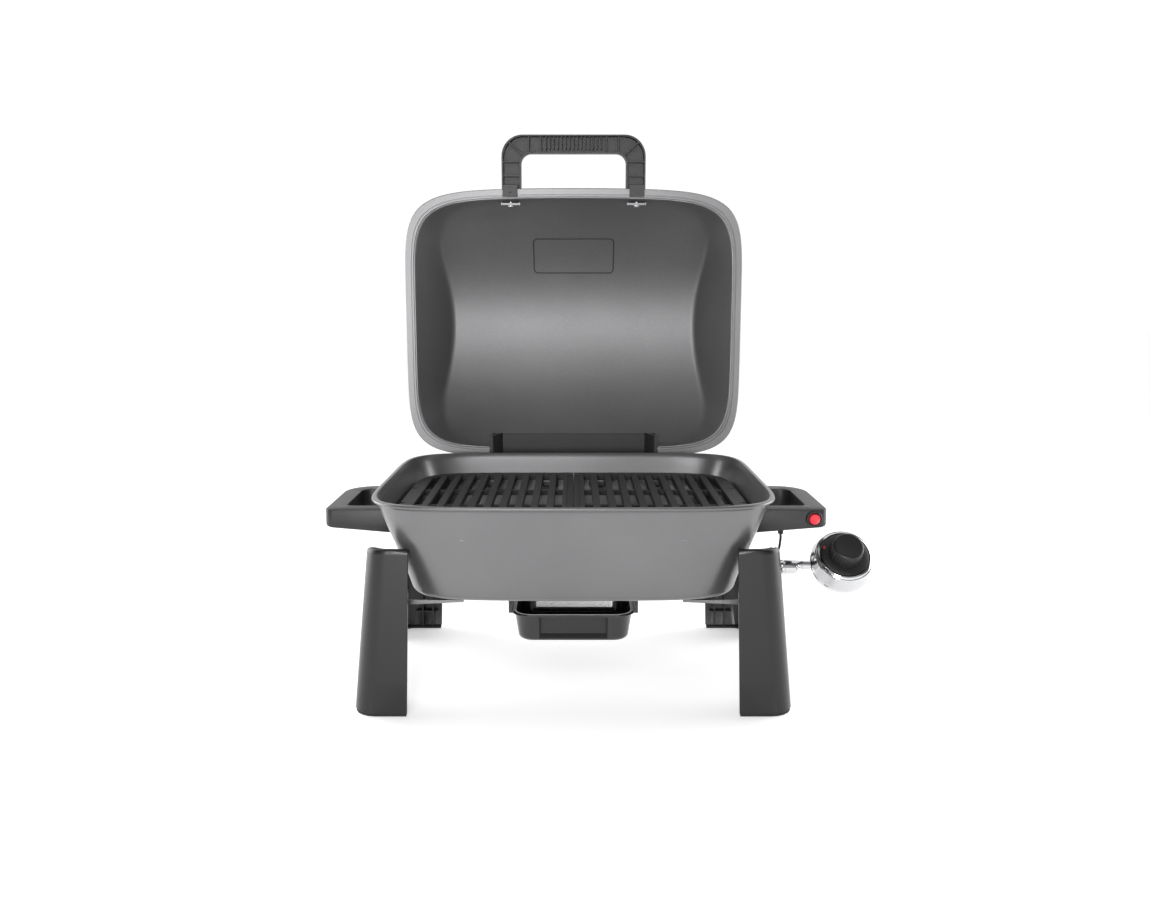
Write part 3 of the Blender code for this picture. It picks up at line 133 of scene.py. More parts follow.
def add_floor():
    mesh = bpy.data.meshes.new("floor")
    corners = [(-FLOOR_REACH, -FLOOR_REACH, 0), (FLOOR_REACH, -FLOOR_REACH, 0),
               (FLOOR_REACH, FLOOR_REAR, 0), (-FLOOR_REACH, FLOOR_REAR, 0)]
    mesh.from_pydata(corners, [], [(0, 1, 2, 3)])
    floor = bpy.data.objects.new("floor", mesh)
    bpy.context.scene.collection.objects.link(floor)
    material = bpy.data.materials.new("pale_floor")
    material.use_nodes = True
    shader = material.node_tree.nodes["Principled BSDF"]
    shader.inputs["Base Color"].default_value = (FLOOR_GREY, FLOOR_GREY, FLOOR_GREY, 1.0)
    shader.inputs["Roughness"].default_value = 0.8
    shader.inputs["Emission Color"].default_value = (1.0, 1.0, 1.0, 1.0)
    shader.inputs["Emission Strength"].default_value = FLOOR_GLOW
    mesh.materials.append(material)


# ---------------------------------------------------------------- materials

RELIEF_DEPTH = 0.0004         # metres that a full step of grain stands out
COAT_ROUGH = 0.12


def link_noise(tree, scale, detail=3.0, rough=0.55):
    coords = tree.nodes.new("ShaderNodeTexCoord")
    noise = tree.nodes.new("ShaderNodeTexNoise")
    noise.inputs["Scale"].default_value = scale
    noise.inputs["Detail"].default_value = detail
    noise.inputs["Roughness"].default_value = rough
    tree.links.new(coords.outputs["Object"], noise.inputs["Vector"])
    return noise.outputs["Fac"]


def ramp(tree, source, low, high, start=0.3, end=0.7):
    node = tree.nodes.new("ShaderNodeValToRGB")
    node.color_ramp.elements[0].position = start
    node.color_ramp.elements[1].position = end
    node.color_ramp.elements[0].color = (*low, 1.0)
    node.color_ramp.elements[1].color = (*high, 1.0)
    tree.links.new(source, node.inputs["Fac"])
    return node.outputs["Color"]


def surface(name, low, high, rough, metallic, grain, relief, patch=9.0, coat=0.0):
    """A finish whose colour drifts in patches and whose roughness and relief follow a fine grain."""
    material = bpy.data.materials.new(name)
    material.use_nodes = True
    tree = material.node_tree
    shader = tree.nodes["Principled BSDF"]
    shader.inputs["Metallic"].default_value = metallic
    if coat:
        shader.inputs["Coat Weight"].default_value = coat
        shader.inputs["Coat Roughness"].default_value = COAT_ROUGH
    fine = link_noise(tree, grain)
    broad = link_noise(tree, patch, 4.0)
    mix = tree.nodes.new("ShaderNodeMath")
    mix.operation = "MULTIPLY_ADD"
    mix.inputs[1].default_value = 0.5
    tree.links.new(fine, mix.inputs[0])
    half = tree.nodes.new("ShaderNodeMath")
    half.operation = "MULTIPLY"
    half.inputs[1].default_value = 0.5
    tree.links.new(broad, half.inputs[0])
    tree.links.new(half.outputs[0], mix.inputs[2])
    tree.links.new(ramp(tree, mix.outputs[0], low, high, 0.36, 0.64), shader.inputs["Base Color"])
    span = tree.nodes.new("ShaderNodeMapRange")
    span.inputs["To Min"].default_value = rough[0]
    span.inputs["To Max"].default_value = rough[1]
    tree.links.new(broad, span.inputs["Value"])
    tree.links.new(span.outputs["Result"], shader.inputs["Roughness"])
    bump = tree.nodes.new("ShaderNodeBump")
    bump.inputs["Strength"].default_value = relief
    bump.inputs["Distance"].default_value = RELIEF_DEPTH
    tree.links.new(fine, bump.inputs["Height"])
    tree.links.new(bump.outputs["Normal"], shader.inputs["Normal"])
    return material


def grey(value):
    return (value, value, value * 1.02)


FINISH = {
    "tub_paint": surface("tub_paint", grey(0.17), grey(0.20), (0.27, 0.34), 0.75, 1500.0, 0.08),
    "lid_paint": surface("lid_paint", grey(0.17), grey(0.205), (0.34, 0.44), 0.6, 1500.0, 0.12),
    "lid_lining": surface("lid_lining", grey(0.18), grey(0.27), (0.47, 0.52), 0.9, 1300.0, 0.7, 3.0),
    # painted shade: the inside of the hood is the same lining, coloured near-black
    "hood_painted_shade": surface("hood_painted_shade", grey(0.020), grey(0.034), (0.45, 0.55), 0.4, 1100.0, 0.4),
    "iron": surface("iron", grey(0.022), grey(0.040), (0.42, 0.6), 0.25, 700.0, 0.6),
    "black_plastic": surface("black_plastic", grey(0.005), grey(0.008), (0.36, 0.44), 0.0, 2600.0, 0.3),
    "leg_plastic": surface("leg_plastic", grey(0.0048), grey(0.0075), (0.26, 0.31), 0.0, 2600.0, 0.2),
    "handle_plastic": surface("handle_plastic", grey(0.010), grey(0.015), (0.38, 0.45), 0.0, 2600.0, 0.3),
    "rubber": surface("rubber", grey(0.010), grey(0.016), (0.7, 0.85), 0.0, 1200.0, 0.5),
    "zinc": surface("zinc", grey(0.42), grey(0.58), (0.26, 0.4), 1.0, 900.0, 0.12),
    "dull_steel": surface("dull_steel", grey(0.13), grey(0.20), (0.36, 0.46), 0.8, 500.0, 0.15),
    "burnt_steel": surface("burnt_steel", (0.20, 0.185, 0.17), (0.34, 0.33, 0.32), (0.36, 0.55), 0.9,
                           260.0, 0.2),
    "chrome": surface("chrome", grey(0.60), grey(0.68), (0.07, 0.11), 1.0, 400.0, 0.02),
    "brass": surface("brass", (0.55, 0.40, 0.16), (0.66, 0.5, 0.22), (0.24, 0.36), 1.0, 600.0, 0.1),
    "ceramic": surface("ceramic", (0.70, 0.68, 0.62), (0.82, 0.80, 0.74), (0.25, 0.35), 0.0, 500.0, 0.08),
    "enamel": surface("enamel", grey(0.010), grey(0.016), (0.16, 0.24), 0.0, 500.0, 0.10, coat=0.4),
    # painted shade: the tray's finger pocket, coloured darker than the enamel it is pressed in
    "pocket": surface("pocket", grey(0.004), grey(0.007), (0.5, 0.6), 0.0, 900.0, 0.15),
    "red": surface("red", (0.62, 0.022, 0.040), (0.72, 0.032, 0.052), (0.30, 0.38), 0.0, 1800.0, 0.15),
    "red_mark": surface("red_mark", (0.25, 0.01, 0.02), (0.35, 0.02, 0.03), (0.4, 0.5), 0.0, 1800.0, 0.1),
}


# ---------------------------------------------------------------- mesh helpers

def finish_mesh(name, data, material, smooth=32.0):
    """Scale a drawing to the frame and make it an object."""
    bmesh.ops.transform(data, matrix=TO_FRAME, verts=data.verts)
    bmesh.ops.recalc_face_normals(data, faces=data.faces)
    mesh = bpy.data.meshes.new(name)
    data.to_mesh(mesh)
    data.free()
    mesh.shade_smooth()
    mesh.set_sharp_from_angle(angle=math.radians(smooth))
    mesh.materials.append(FINISH[material])
    piece = bpy.data.objects.new(name, mesh)
    bpy.context.scene.collection.objects.link(piece)
    return piece


def round_edges(piece, width, segments=2, angle=35.0):
    bevel = piece.modifiers.new("Bevel", "BEVEL")
    bevel.width = width * MM
    bevel.segments = segments
    bevel.limit_method = "ANGLE"
    bevel.angle_limit = math.radians(angle)
    bevel.harden_normals = True
    return piece


def place(piece, body, slot, *nodes):
    """Ride on a body and stand for CAD nodes; the slot is not used."""
    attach(piece, body)
    if nodes:
        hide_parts(*nodes)
    return piece


FRONT_BOW = 0.035            # how much the front edge falls back towards the corners


def superellipse(half_x, half_y, power, z, count):
    """Outline points spaced evenly enough for round corners and straight sides, with a bowed front."""
    points = []
    for index in range(count):
        angle = 2.0 * math.pi * index / count
        cosine, sine = math.cos(angle), math.sin(angle)
        radius = (abs(cosine) ** power + abs(sine) ** power) ** (-1.0 / power)
        x, y = half_x * radius * cosine, half_y * radius * sine
        if y < 0.0:
            y *= 1.0 - FRONT_BOW * (x / half_x) ** 2
        points.append(Vector((x, y, z)))
    return points


def unbowed(x, y, half_x):
    """The Y that a point of a bowed outline would have without the bow."""
    return y / (1.0 - FRONT_BOW * min(abs(x / half_x), 1.0) ** 2) if y < 0.0 else y


def rounded_rectangle(low, high, radii, z, steps=8):
    corners = ((low[0], low[1], 1, 1, 180), (high[0], low[1], -1, 1, 270),
               (high[0], high[1], -1, -1, 0), (low[0], high[1], 1, -1, 90))
    points = []
    for (x, y, side_x, side_y, start), radius in zip(corners, radii):
        for step in range(steps + 1):
            angle = math.radians(start + 90.0 * step / steps)
            points.append(Vector((x + side_x * radius + radius * math.cos(angle),
                                  y + side_y * radius + radius * math.sin(angle), z)))
    return points


def loft(rings, stack_closes=False, data=None):
    data = data or bmesh.new()
    rows = [[data.verts.new(point) for point in ring] for ring in rings]
    pairs = list(zip(rows, rows[1:]))
    if stack_closes:
        pairs.append((rows[-1], rows[0]))
    count = len(rows[0])
    for lower, upper in pairs:
        for index in range(count):
            after = (index + 1) % count
            data.faces.new((lower[index], lower[after], upper[after], upper[index]))
    if not stack_closes:
        data.faces.new(rows[0])
        data.faces.new(rows[-1])
    return data


def block(low, high, data=None):
    x0, y0, z0 = low
    x1, y1, z1 = high
    return loft([[Vector((x0, y0, z)), Vector((x1, y0, z)), Vector((x1, y1, z)), Vector((x0, y1, z))]
                 for z in (z0, z1)], data=data)


def turned(profile, segments=96, flutes=0, flute_depth=0.0, flute_rows=()):
    """Turn a half profile about Z; rows named in flute_rows carry flutes round the rim."""
    data = bmesh.new()
    rows = []
    for number, (radius, height) in enumerate(profile):
        if radius == 0.0:
            rows.append([data.verts.new((0.0, 0.0, height))] * segments)
            continue
        row = []
        for step in range(segments):
            angle = 2.0 * math.pi * step / segments
            cut = 0.0
            if number in flute_rows:
                cut = flute_depth * (0.5 - 0.5 * math.cos(flutes * angle)) ** 2
            row.append(data.verts.new(((radius - cut) * math.cos(angle),
                                       (radius - cut) * math.sin(angle), height)))
        rows.append(row)
    pairs = list(zip(rows, rows[1:]))
    if profile[0][0] != 0.0:
        pairs.append((rows[-1], rows[0]))
    for lower, upper in pairs:
        for step in range(segments):
            after = (step + 1) % segments
            corners = []
            for vert in (lower[step], lower[after], upper[after], upper[step]):
                if vert not in corners:
                    corners.append(vert)
            if len(corners) > 2:
                data.faces.new(corners)
    return data


AXIS_TURNS = {
    "+X": Matrix.Rotation(math.radians(90.0), 4, "Y"),
    "-X": Matrix.Rotation(math.radians(-90.0), 4, "Y"),
    "+Y": Matrix.Rotation(math.radians(-90.0), 4, "X"),
    "-Y": Matrix.Rotation(math.radians(90.0), 4, "X"),
}


def aim(data, axis, spot):
    matrix = Matrix.Translation(spot) @ AXIS_TURNS[axis]
    bmesh.ops.transform(data, matrix=matrix, verts=data.verts)
    return data


def tube(points, radius, sides=12, closed=False):
    """A round tube along a polyline, with flat ends or joined into a ring."""
    points = [Vector(point) for point in points]
    count = len(points)
    rings, side = [], None
    for index, point in enumerate(points):
        after = points[(index + 1) % count] if closed or index < count - 1 else point
        before = points[index - 1] if closed or index > 0 else point
        along = (after - before).normalized()
        if side is None:
            side = along.orthogonal().normalized()
        side = (side - along * side.dot(along)).normalized()
        up = along.cross(side)
        rings.append([point + radius * (math.cos(2 * math.pi * step / sides) * side
                                        + math.sin(2 * math.pi * step / sides) * up)
                      for step in range(sides)])
    return loft(rings, stack_closes=closed)


def smooth_route(stops, count):
    stops = [Vector(stop) for stop in stops]
    padded = [2 * stops[0] - stops[1]] + stops + [2 * stops[-1] - stops[-2]]
    points = []
    spans = len(stops) - 1
    for index in range(count + 1):
        along = index / count * spans
        span = min(int(along), spans - 1)
        t = along - span
        before, start, end, after = padded[span:span + 4]
        points.append(0.5 * (2 * start + (end - before) * t
                             + (2 * before - 5 * start + 4 * end - after) * t * t
                             + (3 * start - 3 * end + after - before) * t ** 3))
    return points


def boolean(piece, tool_data, operation):
    """Apply a cut or a weld to a piece at once."""
    tool = finish_mesh(piece.name + "_tool", tool_data, "zinc")
    modifier = piece.modifiers.new("Boolean", "BOOLEAN")
    modifier.operation = operation
    modifier.object = tool
    modifier.solver = "EXACT"
    graph = bpy.context.evaluated_depsgraph_get()
    mesh = bpy.data.meshes.new_from_object(piece.evaluated_get(graph))
    piece.modifiers.remove(modifier)
    piece.data = mesh
    bpy.data.objects.remove(tool, do_unlink=True)
    return piece


# ---------------------------------------------------------------- firebox

ROUNDNESS = 6.4
RIM_HALF_X = (TUB_HIGH.x - TUB_LOW.x) / 2 / MM
RIM_HALF_Y = (TUB_HIGH.y - TUB_LOW.y) / 2 / MM
RIM_Z = TUB_HIGH.z / MM
FLOOR_Z = TUB_LOW.z / MM + 2.0
TUB_POINTS = 288
WALL_LOW = (175.5, 133.5, 132.0)     # half width, half depth and height, outside the wall
WALL_HIGH = (207.5, 163.5, 222.0)
WALL = 3.6
LEDGE_INNER_Y = 134.0
LEDGE_LOW, LEDGE_HIGH = 190.0, 198.6 # the ledges inside the tub that carry the grates


def wall_at(z):
    """Half width and half depth of the tub's outside at a height."""
    share = (z - WALL_LOW[2]) / (WALL_HIGH[2] - WALL_LOW[2])
    return [low + (high - low) * share for low, high in zip(WALL_LOW[:2], WALL_HIGH[:2])]


def tub_rings():
    """The casting's section from the middle of its underside, over the rim, to the middle of its floor."""
    low_x, low_y, low_z = WALL_LOW
    rings = [(13.0, 13.0, 2.0, FLOOR_Z - 2.0), (13.6, 13.6, 2.0, FLOOR_Z - 1.2), (60, 45, 3.0, FLOOR_Z),
             (low_x - 32, low_y - 32, 5.0, FLOOR_Z + 0.5)]
    radius = 12.0
    for step in range(9):
        angle = math.radians(-90.0 + 68.0 * step / 8)
        inward = radius * (math.cos(math.radians(-22.0)) - math.cos(angle))
        rings.append((low_x - inward, low_y - inward, ROUNDNESS,
                      low_z + radius * (math.sin(angle) - math.sin(math.radians(-22.0))) - 4.2))
    for z in (150.0, 170.0, 190.0, 208.0, 218.0, 222.0):
        rings.append((*wall_at(z), ROUNDNESS, z))
    lip = 1.7
    rings += [(WALL_HIGH[0] + 1.4, WALL_HIGH[1] + 1.2, ROUNDNESS, RIM_Z - 4.6),
              (WALL_HIGH[0] + 2.6, WALL_HIGH[1] + 2.2, ROUNDNESS, RIM_Z - 4.0),
              (RIM_HALF_X - 0.8, RIM_HALF_Y - 0.8, ROUNDNESS, RIM_Z - 3.4),
              (RIM_HALF_X, RIM_HALF_Y, ROUNDNESS, RIM_Z - lip),
              (RIM_HALF_X - 0.3, RIM_HALF_Y - 0.3, ROUNDNESS, RIM_Z - 0.6),
              (RIM_HALF_X - 1.1, RIM_HALF_Y - 1.1, ROUNDNESS, RIM_Z),
              (RIM_HALF_X - 4.4, RIM_HALF_Y - 4.4, ROUNDNESS, RIM_Z),
              (RIM_HALF_X - 5.5, RIM_HALF_Y - 5.3, ROUNDNESS, RIM_Z - 0.8)]
    for z in (222.0, 210.0, 190.0, 170.0, 150.0, low_z):
        half_x, half_y = wall_at(z)
        rings.append((half_x - WALL, half_y - WALL, ROUNDNESS, z))
    rings += [(low_x - 8.5, low_y - 8.5, ROUNDNESS, FLOOR_Z + 9),
              (low_x - 18, low_y - 18, ROUNDNESS, FLOOR_Z + 5.5),
              (low_x - 36, low_y - 36, 5.0, FLOOR_Z + 4),
              (60, 45, 3.0, FLOOR_Z + 3),
              (10, 10, 2.0, FLOOR_Z + 1.5)]
    return [superellipse(*ring, TUB_POINTS) for ring in rings]


def add_tub():
    tub = finish_mesh("firebox_casting", loft(tub_rings(), stack_closes=True), "tub_paint", 40.0)
    place(tub, "base", "grey_cast_aluminium", "firebox")
    for side in (-1, 1):
        for centre in (-105.0, -30.0, 30.0, 105.0):
            low, high = sorted((side * LEDGE_INNER_Y, side * (wall_at(LEDGE_LOW)[1] - 1.6)))
            ledge = finish_mesh(f"ledge_{'rear' if side > 0 else 'front'}_{int(centre + 105)}",
                                block((centre - 10, low, LEDGE_LOW), (centre + 10, high, LEDGE_HIGH)),
                                "tub_paint")
            place(round_edges(ledge, 1.5), "base", "grey_cast_aluminium")


# ---------------------------------------------------------------- lid

LID_HALF_X = 218.0
LID_HALF_Y = 173.5
LID_BOTTOM = RIM_Z + 0.5
LID_TOP = LID_BOTTOM + 3.0
FLANGE = 7.5
LID_WALL = 3.4
LINING_HALF_X = LID_HALF_X - FLANGE - LID_WALL
LINING_HALF_Y = LID_HALF_Y - FLANGE - LID_WALL
LINING_DROP = LID_WALL * 0.9
LID_POINTS = 320
HINGE_Y = 175.25
HINGE_Z = 219.25
OPEN = (Matrix.Translation((0.0, HINGE_Y, HINGE_Z)) @ Matrix.Rotation(math.radians(-90.0), 4, "X")
        @ Matrix.Translation((0.0, -HINGE_Y, -HINGE_Z)))
LID_CROWN = 100.0
LID_SHOULDER = 40.0
SHOULDER_AT = 0.82
END_SLOPE = 1.45
WALL_SLOPE = 3.3
SIDE_SLOPE = 2.8
SLOPE_FOOT = 4.0              # where the end and side slopes start over the flange
HANDLE_X = 81.0
LID_SMOOTH = 38.0
HOOD_HALF_LOW, HOOD_HALF_HIGH = 112.0, 99.0
HOOD_FRONT_Y, HOOD_REAR_Y = 146.0, 188.0
HOOD_HEIGHT, HOOD_WALL = 32.0, 3.0


def opened(data):
    """Swing something drawn on the closed lid to where the open lid holds it."""
    bmesh.ops.transform(data, matrix=OPEN, verts=data.verts)
    return data


def soft_minimum(values, blend):
    return -blend * math.log(sum(math.exp(-value / blend) for value in values))


def lid_height(x, y, inward, half_x, half_y):
    """Height over the flange: a vault that meets steep walls and softer slopes at the ends and sides."""
    y = unbowed(x, y, half_x)
    vault = LID_CROWN - (LID_CROWN - LID_SHOULDER) * (y / (half_y * SHOULDER_AT)) ** 2
    return soft_minimum((vault, inward * WALL_SLOPE, (half_x - abs(x)) * SIDE_SLOPE + SLOPE_FOOT,
                         (half_y - abs(y)) * END_SLOPE + SLOPE_FOOT), 3.0)


def dome_ring(half_x, half_y, scale, drop):
    inward = (1.0 - scale) * half_y
    ring = superellipse(half_x * scale, half_y * scale, ROUNDNESS, 0.0, LID_POINTS)
    for point in ring:
        height = lid_height(point.x, point.y, inward, half_x, half_y)
        point.z = LID_TOP + max(height - drop, inward / half_y)
    return ring


def dome_scales():
    """Close together on the steep wall and over the creases, and then even across the crown."""
    near = [1.0 - 0.105 * (step / 16) ** 1.3 for step in range(1, 17)]
    middle = [near[-1] - 0.01 * step for step in range(1, 33)]
    return near + middle + [middle[-1] * (1.0 - step / 14) for step in range(1, 14)]


def lid_shell_rings():
    """The lid's section from the crown's outside, round the flange, to the crown's lining."""
    half_x, half_y = LID_HALF_X - FLANGE, LID_HALF_Y - FLANGE
    inner_x, inner_y = LINING_HALF_X, LINING_HALF_Y
    outside = [dome_ring(half_x, half_y, scale, 0.0) for scale in dome_scales()][::-1]
    inside = [dome_ring(inner_x, inner_y, scale, LINING_DROP) for scale in dome_scales()]

    def level(x, y, z):
        return superellipse(x, y, ROUNDNESS, z, LID_POINTS)

    edge = [level(half_x + 0.4, half_y + 0.4, LID_TOP + 0.6), level(half_x + 1.2, half_y + 1.2, LID_TOP),
            level(LID_HALF_X - 0.9, LID_HALF_Y - 0.9, LID_TOP),
            level(LID_HALF_X - 0.2, LID_HALF_Y - 0.2, LID_TOP - 0.5),
            level(LID_HALF_X, LID_HALF_Y, LID_TOP - 1.2), level(LID_HALF_X, LID_HALF_Y, LID_BOTTOM + 0.9),
            level(LID_HALF_X - 0.8, LID_HALF_Y - 0.8, LID_BOTTOM)]
    groove = [level(inner_x + 3.2, inner_y + 3.2, LID_BOTTOM),
              level(inner_x + 2.9, inner_y + 2.9, LID_BOTTOM + 0.9),
              level(inner_x + 2.1, inner_y + 2.1, LID_BOTTOM + 0.9),
              level(inner_x + 1.8, inner_y + 1.8, LID_BOTTOM),
              level(inner_x + 0.5, inner_y + 0.5, LID_BOTTOM),
              level(inner_x, inner_y, LID_BOTTOM + 0.5),
              level(inner_x - 0.1, inner_y - 0.1, LID_TOP)]
    return outside + edge + groove + inside


def hood(shrink, rear, low, high):
    outline = [(-HOOD_HALF_LOW + shrink, low), (HOOD_HALF_LOW - shrink, low),
               (HOOD_HALF_HIGH - shrink, high), (-HOOD_HALF_HIGH + shrink, high)]
    return loft([[Vector((x, y, z)) for x, z in outline] for y in (HOOD_FRONT_Y, rear)])


def add_lid():
    lid = finish_mesh("lid_casting", loft(lid_shell_rings()), "lid_paint", LID_SMOOTH)
    hood_top = LID_BOTTOM + HOOD_HEIGHT
    boolean(lid, hood(0.0, HOOD_REAR_Y, LID_BOTTOM, hood_top), "UNION")
    boolean(lid, hood(HOOD_WALL, HOOD_REAR_Y - HOOD_WALL, LID_BOTTOM - 5.0, hood_top - HOOD_WALL),
            "DIFFERENCE")
    lid.data.materials.clear()
    for finish in ("lid_paint", "lid_lining", "hood_painted_shade"):
        lid.data.materials.append(FINISH[finish])
    paint_lining(lid)
    lid.data.transform(TO_FRAME @ OPEN @ TO_FRAME.inverted())
    lid.data.shade_smooth()
    lid.data.set_sharp_from_angle(angle=math.radians(LID_SMOOTH))
    place(lid, "lid", "dark_cast_aluminium", "lid_shell")
    add_panel_bead()


def lining_share(x, y):
    """How far out a point lies in the lining's outline: 0 in the middle and 1 on its edge."""
    level_y = unbowed(x, y, LINING_HALF_X)
    across, along = abs(x / LINING_HALF_X), abs(level_y / LINING_HALF_Y)
    return (across ** ROUNDNESS + along ** ROUNDNESS) ** (1 / ROUNDNESS)


def lining_height(x, y, share):
    return lid_height(x, y, (1.0 - share) * LINING_HALF_Y, LINING_HALF_X, LINING_HALF_Y)


def paint_lining(lid):
    """Faces that look into the lid take the lining, those in the hood a darker one that paints the hood's
    shade; the rest stay grey.
    """
    back = TO_FRAME.inverted()
    for face in lid.data.polygons:
        spot = back @ face.center
        share = lining_share(spot.x, spot.y)
        height = lining_height(spot.x, spot.y, share) if share < 1 else 0.0
        above_flange = spot.z > LID_BOTTOM + 0.45
        under_shell = spot.z - LID_TOP < height - LID_WALL * 0.35
        inside = share < 1.004 and above_flange and under_shell
        # faces inside the hood take the near-black painted shade instead of the lining
        in_hood = (abs(spot.x) < HOOD_HALF_LOW - 2.0 and HOOD_FRONT_Y + 0.5 < spot.y < HOOD_REAR_Y - 2.0
                   and spot.z < LID_BOTTOM + HOOD_HEIGHT - 2.5)
        face.material_index = 2 if in_hood else int(inside)


def lining_depth(x, y):
    return LID_TOP + lining_height(x, y, lining_share(x, y)) - LINING_DROP


PANEL_LOW, PANEL_HIGH = (-54.0, -112.5), (54.0, -68.0)
PANEL_CORNER = 5.0
BEAD_RADIUS = 0.8


def add_panel_bead():
    """A plain rounded panel outlined by a fine raised bead on the lining, coloured near-black as painted
    shade along the panel's edge.
    """
    outline = rounded_rectangle(PANEL_LOW, PANEL_HIGH, (PANEL_CORNER,) * 4, 0.0, 6)
    dense = []
    for start, end in zip(outline, outline[1:] + outline[:1]):
        steps = max(1, int((end - start).length / 4.0))
        dense += [start.lerp(end, step / steps) for step in range(steps)]
    path = [Vector((point.x, point.y, lining_depth(point.x, point.y) - 0.1)) for point in dense]
    bead = tube(path, BEAD_RADIUS, 8, closed=True)
    opened(bead)
    place(finish_mesh("lid_panel_bead", bead, "iron"), "lid", "dark_cast_aluminium")


# ---------------------------------------------------------------- lid handle

HANDLE_HALF = 92.0
HANDLE_FRONT = -240.0
HANDLE_LEG = 25.0
HANDLE_GRIP = 23.0
HANDLE_LOW = LID_BOTTOM + 4.0
HANDLE_HIGH = HANDLE_LOW + 22.0
HANDLE_BACK = -LID_HALF_Y + FLANGE - 0.5
RECESS = 9.0
END_SLANT = 10.5


def u_side(half, front, radius, back, steps=14):
    """Half-open U from the right leg's back end round to the left leg's."""
    points = [(half, back), (half, (back + front + radius) / 2)]
    for centre, start in (((half - radius, front + radius), 0.0), ((radius - half, front + radius), 270.0)):
        for step in range(steps + 1):
            angle = math.radians(start - 90.0 * step / steps)
            points.append((centre[0] + radius * math.cos(angle), centre[1] + radius * math.sin(angle)))
        if start == 0.0:
            points += [(x, front) for x in (half * 0.4, 0.0, -half * 0.4)]
    return points + [(-half, (back + front + radius) / 2), (-half, back)]


def add_lid_handle():
    outer = u_side(HANDLE_HALF, HANDLE_FRONT, 27.0, HANDLE_BACK)
    inner = u_side(HANDLE_HALF - HANDLE_LEG, HANDLE_FRONT + HANDLE_GRIP, 13.0, HANDLE_BACK)
    rings = []
    for (ox, oy), (ix, iy) in zip(outer, inner):
        def at(share, z, ox=ox, oy=oy, ix=ix, iy=iy):
            return Vector((ox + (ix - ox) * share, oy + (iy - oy) * share, z))
        low, high = HANDLE_LOW, HANDLE_HIGH
        rings.append([at(0.02, low), at(0.0, low + 0.8), at(0.0, high - 8), at(0.05, high - 3.4),
                      at(0.16, high - 0.8), at(0.3, high), at(0.7, high), at(0.84, high - 0.8),
                      at(0.95, high - 3.4),
                      at(1.0, high - 8), at(1.0, low + 0.8), at(0.98, low), at(0.91, low),
                      at(0.9, low + 0.6), at(0.89, low + RECESS), at(0.11, low + RECESS), at(0.1, low + 0.6),
                      at(0.09, low)])
    for ring in (rings[0], rings[-1]):
        for point in ring:
            point.y += END_SLANT * (point.z - HANDLE_LOW) / (HANDLE_HIGH - HANDLE_LOW)
    shell = loft(rings)
    opened(shell)
    handle = finish_mesh("lid_handle_grip", shell, "black_plastic", 50.0)
    place(handle, "lid", "black_plastic", "lid_handle")
    add_handle_ribs()
    for side, name in ((-1, "left"), (1, "right")):
        foot = block((side * HANDLE_X - 9.7, -LID_HALF_Y - 4.5, LID_BOTTOM - 0.15),
                     (side * HANDLE_X + 9.7, -162.2, LID_BOTTOM + 2.7))
        block((side * HANDLE_X - 9.7, -LID_HALF_Y - 4.6, LID_BOTTOM),
              (side * HANDLE_X + 9.7, -LID_HALF_Y - 0.4, HANDLE_LOW + 4), foot)
        opened(foot)
        place(round_edges(finish_mesh("lid_handle_foot_" + name, foot, "black_plastic"), 0.5),
              "lid", "black_plastic")
        bars = bmesh.new()
        for edge in (-1, 1):
            x0, x1 = sorted((side * HANDLE_X + edge * 10.0, side * HANDLE_X + edge * 11.6))
            block((x0, -LID_HALF_Y + 1.0, LID_BOTTOM - 0.3), (x1, -161.5, LID_BOTTOM + 1.0), bars)
        opened(bars)
        place(round_edges(finish_mesh("lid_notch_rims_" + name, bars, "lid_paint"), 0.25),
              "lid", "dark_cast_aluminium")
        # A thin dark disc in the flange's notch stands in for a hole: painted shade, not a part.
        hole = turned([(0, 0), (1.0, 0), (1.2, 0.2), (1.2, -0.1), (0, -0.1)], 28)
        seat = Matrix.Translation((side * HANDLE_X, -168.0, LID_BOTTOM - 0.3))
        bmesh.ops.transform(hole, matrix=OPEN @ seat, verts=hole.verts)
        place(finish_mesh("lid_handle_hole_shade_" + name, hole, "rubber"), "lid", "black_plastic")


def add_handle_ribs():
    """Moulding ribs in the handle's hollow underside: finger ribs, leg ribs and corner braces."""
    data = bmesh.new()
    low, deep = HANDLE_LOW + 0.5, HANDLE_LOW + RECESS + 0.3
    fingers = 15
    for index in range(fingers):
        x = -35.0 + 70.0 * index / (fingers - 1)
        block((x - 0.6, HANDLE_FRONT + 1.6, low), (x + 0.6, HANDLE_FRONT + HANDLE_GRIP - 4.6, deep), data)
    for x in (-57.0, -41.5, 41.5, 57.0):
        block((x - 0.7, HANDLE_FRONT + 1.6, low), (x + 0.7, HANDLE_FRONT + HANDLE_GRIP - 1.6, deep), data)
    for side in (-1, 1):
        x0, x1 = sorted((side * (HANDLE_HALF - 1.6), side * (HANDLE_HALF - HANDLE_LEG + 1.6)))
        for y in (-206.5, -189.0):
            block((x0, y - 1.0, low - 0.3), (x1, y + 1.0, deep), data)
        corner = Vector((side * (HANDLE_HALF - 8.5), HANDLE_FRONT + 8.5, 0.0))
        inward = Vector((side * (HANDLE_HALF - HANDLE_LEG - 3.0), HANDLE_FRONT + HANDLE_GRIP + 3.0, 0.0))
        along = (inward - corner).normalized()
        across = Vector((-along.y, along.x, 0.0)) * 0.9
        ring = [corner + across, corner - across, inward - across, inward + across]
        loft([[point + Vector((0, 0, z)) for point in ring] for z in (low - 0.3, deep)], data=data)
    opened(data)
    place(round_edges(finish_mesh("lid_handle_ribs", data, "black_plastic"), 0.25, 1), "lid", "black_plastic")


